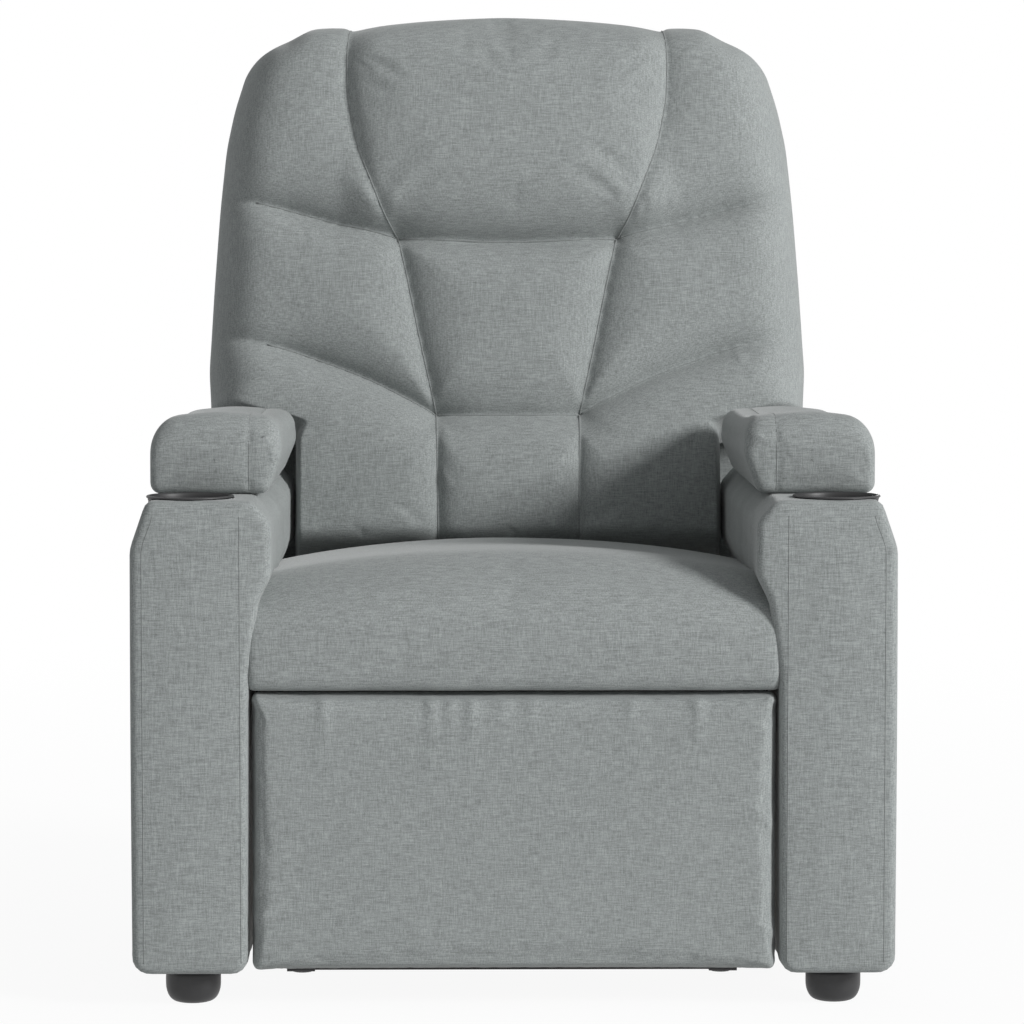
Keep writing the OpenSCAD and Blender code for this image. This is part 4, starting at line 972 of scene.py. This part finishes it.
# ------------------------------------------------------------------ finishes and bodies
for piece, finish, body, nodes in (
        (back, cloth_back, "back", [
            "head_pillow", "shoulder_left", "shoulder_right", "wing_left", "wing_right", "centre_panel",
            "lumbar_centre", "lumbar_left", "lumbar_right"]),
        (back_thread_painted_shadow, thread, "back", []),
        (outside_back, cloth_back, "back", ["back_cover"]),
        (seat, cloth, "chassis", ["seat_cushion"]),
        (arms[1], cloth, "chassis", ["arm_right", "arm_front_right"]),
        (arms[-1], cloth, "chassis", ["arm_left", "arm_front_left"]),
        (pads[1], cloth, "chassis", ["arm_pad_right"]),
        (pads[-1], cloth, "chassis", ["arm_pad_left"]),
        (arm_seams[1], thread, "chassis", []), (arm_seams[-1], thread, "chassis", []),
        (pad_seams[1], thread, "chassis", []), (pad_seams[-1], thread, "chassis", []),
        (footrest, cloth, "footrest", ["footrest_panel"]),
        (pocket, cloth, "chassis", ["side_pocket"])):
    piece.data.materials.clear()
    piece.data.materials.append(finish)
    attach(piece, body)
    if nodes:
        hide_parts(*nodes)
for side, node in ((1, "cup_holder_right"), (-1, "cup_holder_left")):
    cups[side].data.materials.append(black_gloss)
    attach(cups[side], "chassis")
    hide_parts(node)
for k in feet:
    feet[k].data.materials.append(black)
    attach(feet[k], "chassis")
    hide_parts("feet")

FINISH_OF = {"frame_steel": frame_paint, "link_steel": link_paint, "bright_steel": bright,
             "spring_wire": wire, "timber": pine, "black_plastic": black, "button": button_face,
             "fabric": cloth}
for row in frame["record"]["subparts"]:
    node = frame["nodes"][row["node"]]
    finish = ply if row["node"] == "footrest_board" else FINISH_OF[row["material_slot"]]
    node.data.materials.clear()
    node.data.materials.append(finish)

# ------------------------------------------------------------------ floor, light, camera
def shown_white(tree):
    """1 for the rays that show the surroundings themselves: from the camera, a mirror or glass."""
    rays = add(tree, "ShaderNodeLightPath").socket.node.outputs
    seen, mirrored, through = (
        Shade(tree, rays["Is %s Ray" % kind]) for kind in ("Camera", "Glossy", "Transmission"))
    return add(tree, "ShaderNodeMath", {"operation": "MINIMUM"}, seen + mirrored + through, 1.0)


def blended(tree, factor, a, b, output):
    """Shader a where factor is 0 and b where it is 1, into an output node of the given type."""
    add(tree, output, None, add(tree, "ShaderNodeMixShader", None, factor, a, b))


NEAR_WHITE, FAR_WHITE, FADE = 0.92, 0.08, 0.3        # beside the chair; what distance adds; per metre
floor_mat, tree, place = fresh("pale_floor")
ground = add(tree, "ShaderNodeBsdfDiffuse", None, Color=(0.86, 0.86, 0.86, 1))
glow = add(tree, "ShaderNodeEmission", None, Color=(1, 1, 1, 1))
away = add(tree, "ShaderNodeVectorMath", {"operation": "LENGTH"}, place, out=1)
far = add(tree, "ShaderNodeMath", {"operation": "MINIMUM"}, away * FADE, 1.0) * FAR_WHITE + NEAR_WHITE
blended(tree, shown_white(tree) * far, ground, glow, "ShaderNodeOutputMaterial")
bpy.ops.mesh.primitive_plane_add(size=40, location=(0, 0, 0))
floor = bpy.context.object
floor.name = "floor"
floor.data.materials.append(floor_mat)

world = bpy.data.worlds.new("studio")
bpy.context.scene.world = world
world.use_nodes = True
tree = world.node_tree
tree.nodes.clear()
soft = add(tree, "ShaderNodeBackground", None, (0.97, 0.985, 1.0, 1), 0.30)
white = add(tree, "ShaderNodeBackground", None, (1, 1, 1, 1), 1.0)
blended(tree, shown_white(tree), soft, white, "ShaderNodeOutputWorld")


def area_light(name, place, target, width, height, power):
    """A soft box of a width, a height and a power in watts that faces its target."""
    data = bpy.data.lights.new(name, "AREA")
    data.shape, data.size, data.size_y, data.energy = "RECTANGLE", width, height, power
    lamp = bpy.data.objects.new(name, data)
    lamp.location = place
    lamp.rotation_euler = (Vector(target) - Vector(place)).to_track_quat("-Z", "Y").to_euler()
    bpy.context.scene.collection.objects.link(lamp)


area_light("key", (15.5, -10.2, 8.0), (0, -0.1, 0.5), 4.6, 4.6, 3600)
area_light("rear", (0.3, 5.0, 1.2), (0, 0.2, 0.5), 1.6, 1.2, 60)

cam_data = bpy.data.cameras.new("camera")
camera = bpy.data.objects.new("camera", cam_data)
bpy.context.scene.collection.objects.link(camera)
bpy.context.scene.camera = camera
SENSOR = 36.0                                        # millimetres across
FOCAL_SHARE = 4118.0 / 1024.0                        # focal length over the sensor's width
cam_data.sensor_width = SENSOR
cam_data.lens = FOCAL_SHARE * SENSOR
camera.location = (-0.054, -4.632, 0.82)
LOOK_DOWN, LOOK_ASIDE = 0.0721, 0.0123               # radians below and to the right of straight ahead
camera.rotation_euler = (math.radians(90) - LOOK_DOWN, 0, -LOOK_ASIDE)
cam_data.clip_start, cam_data.clip_end = 0.1, 60

bpy.context.scene.view_settings.view_transform = "Standard"
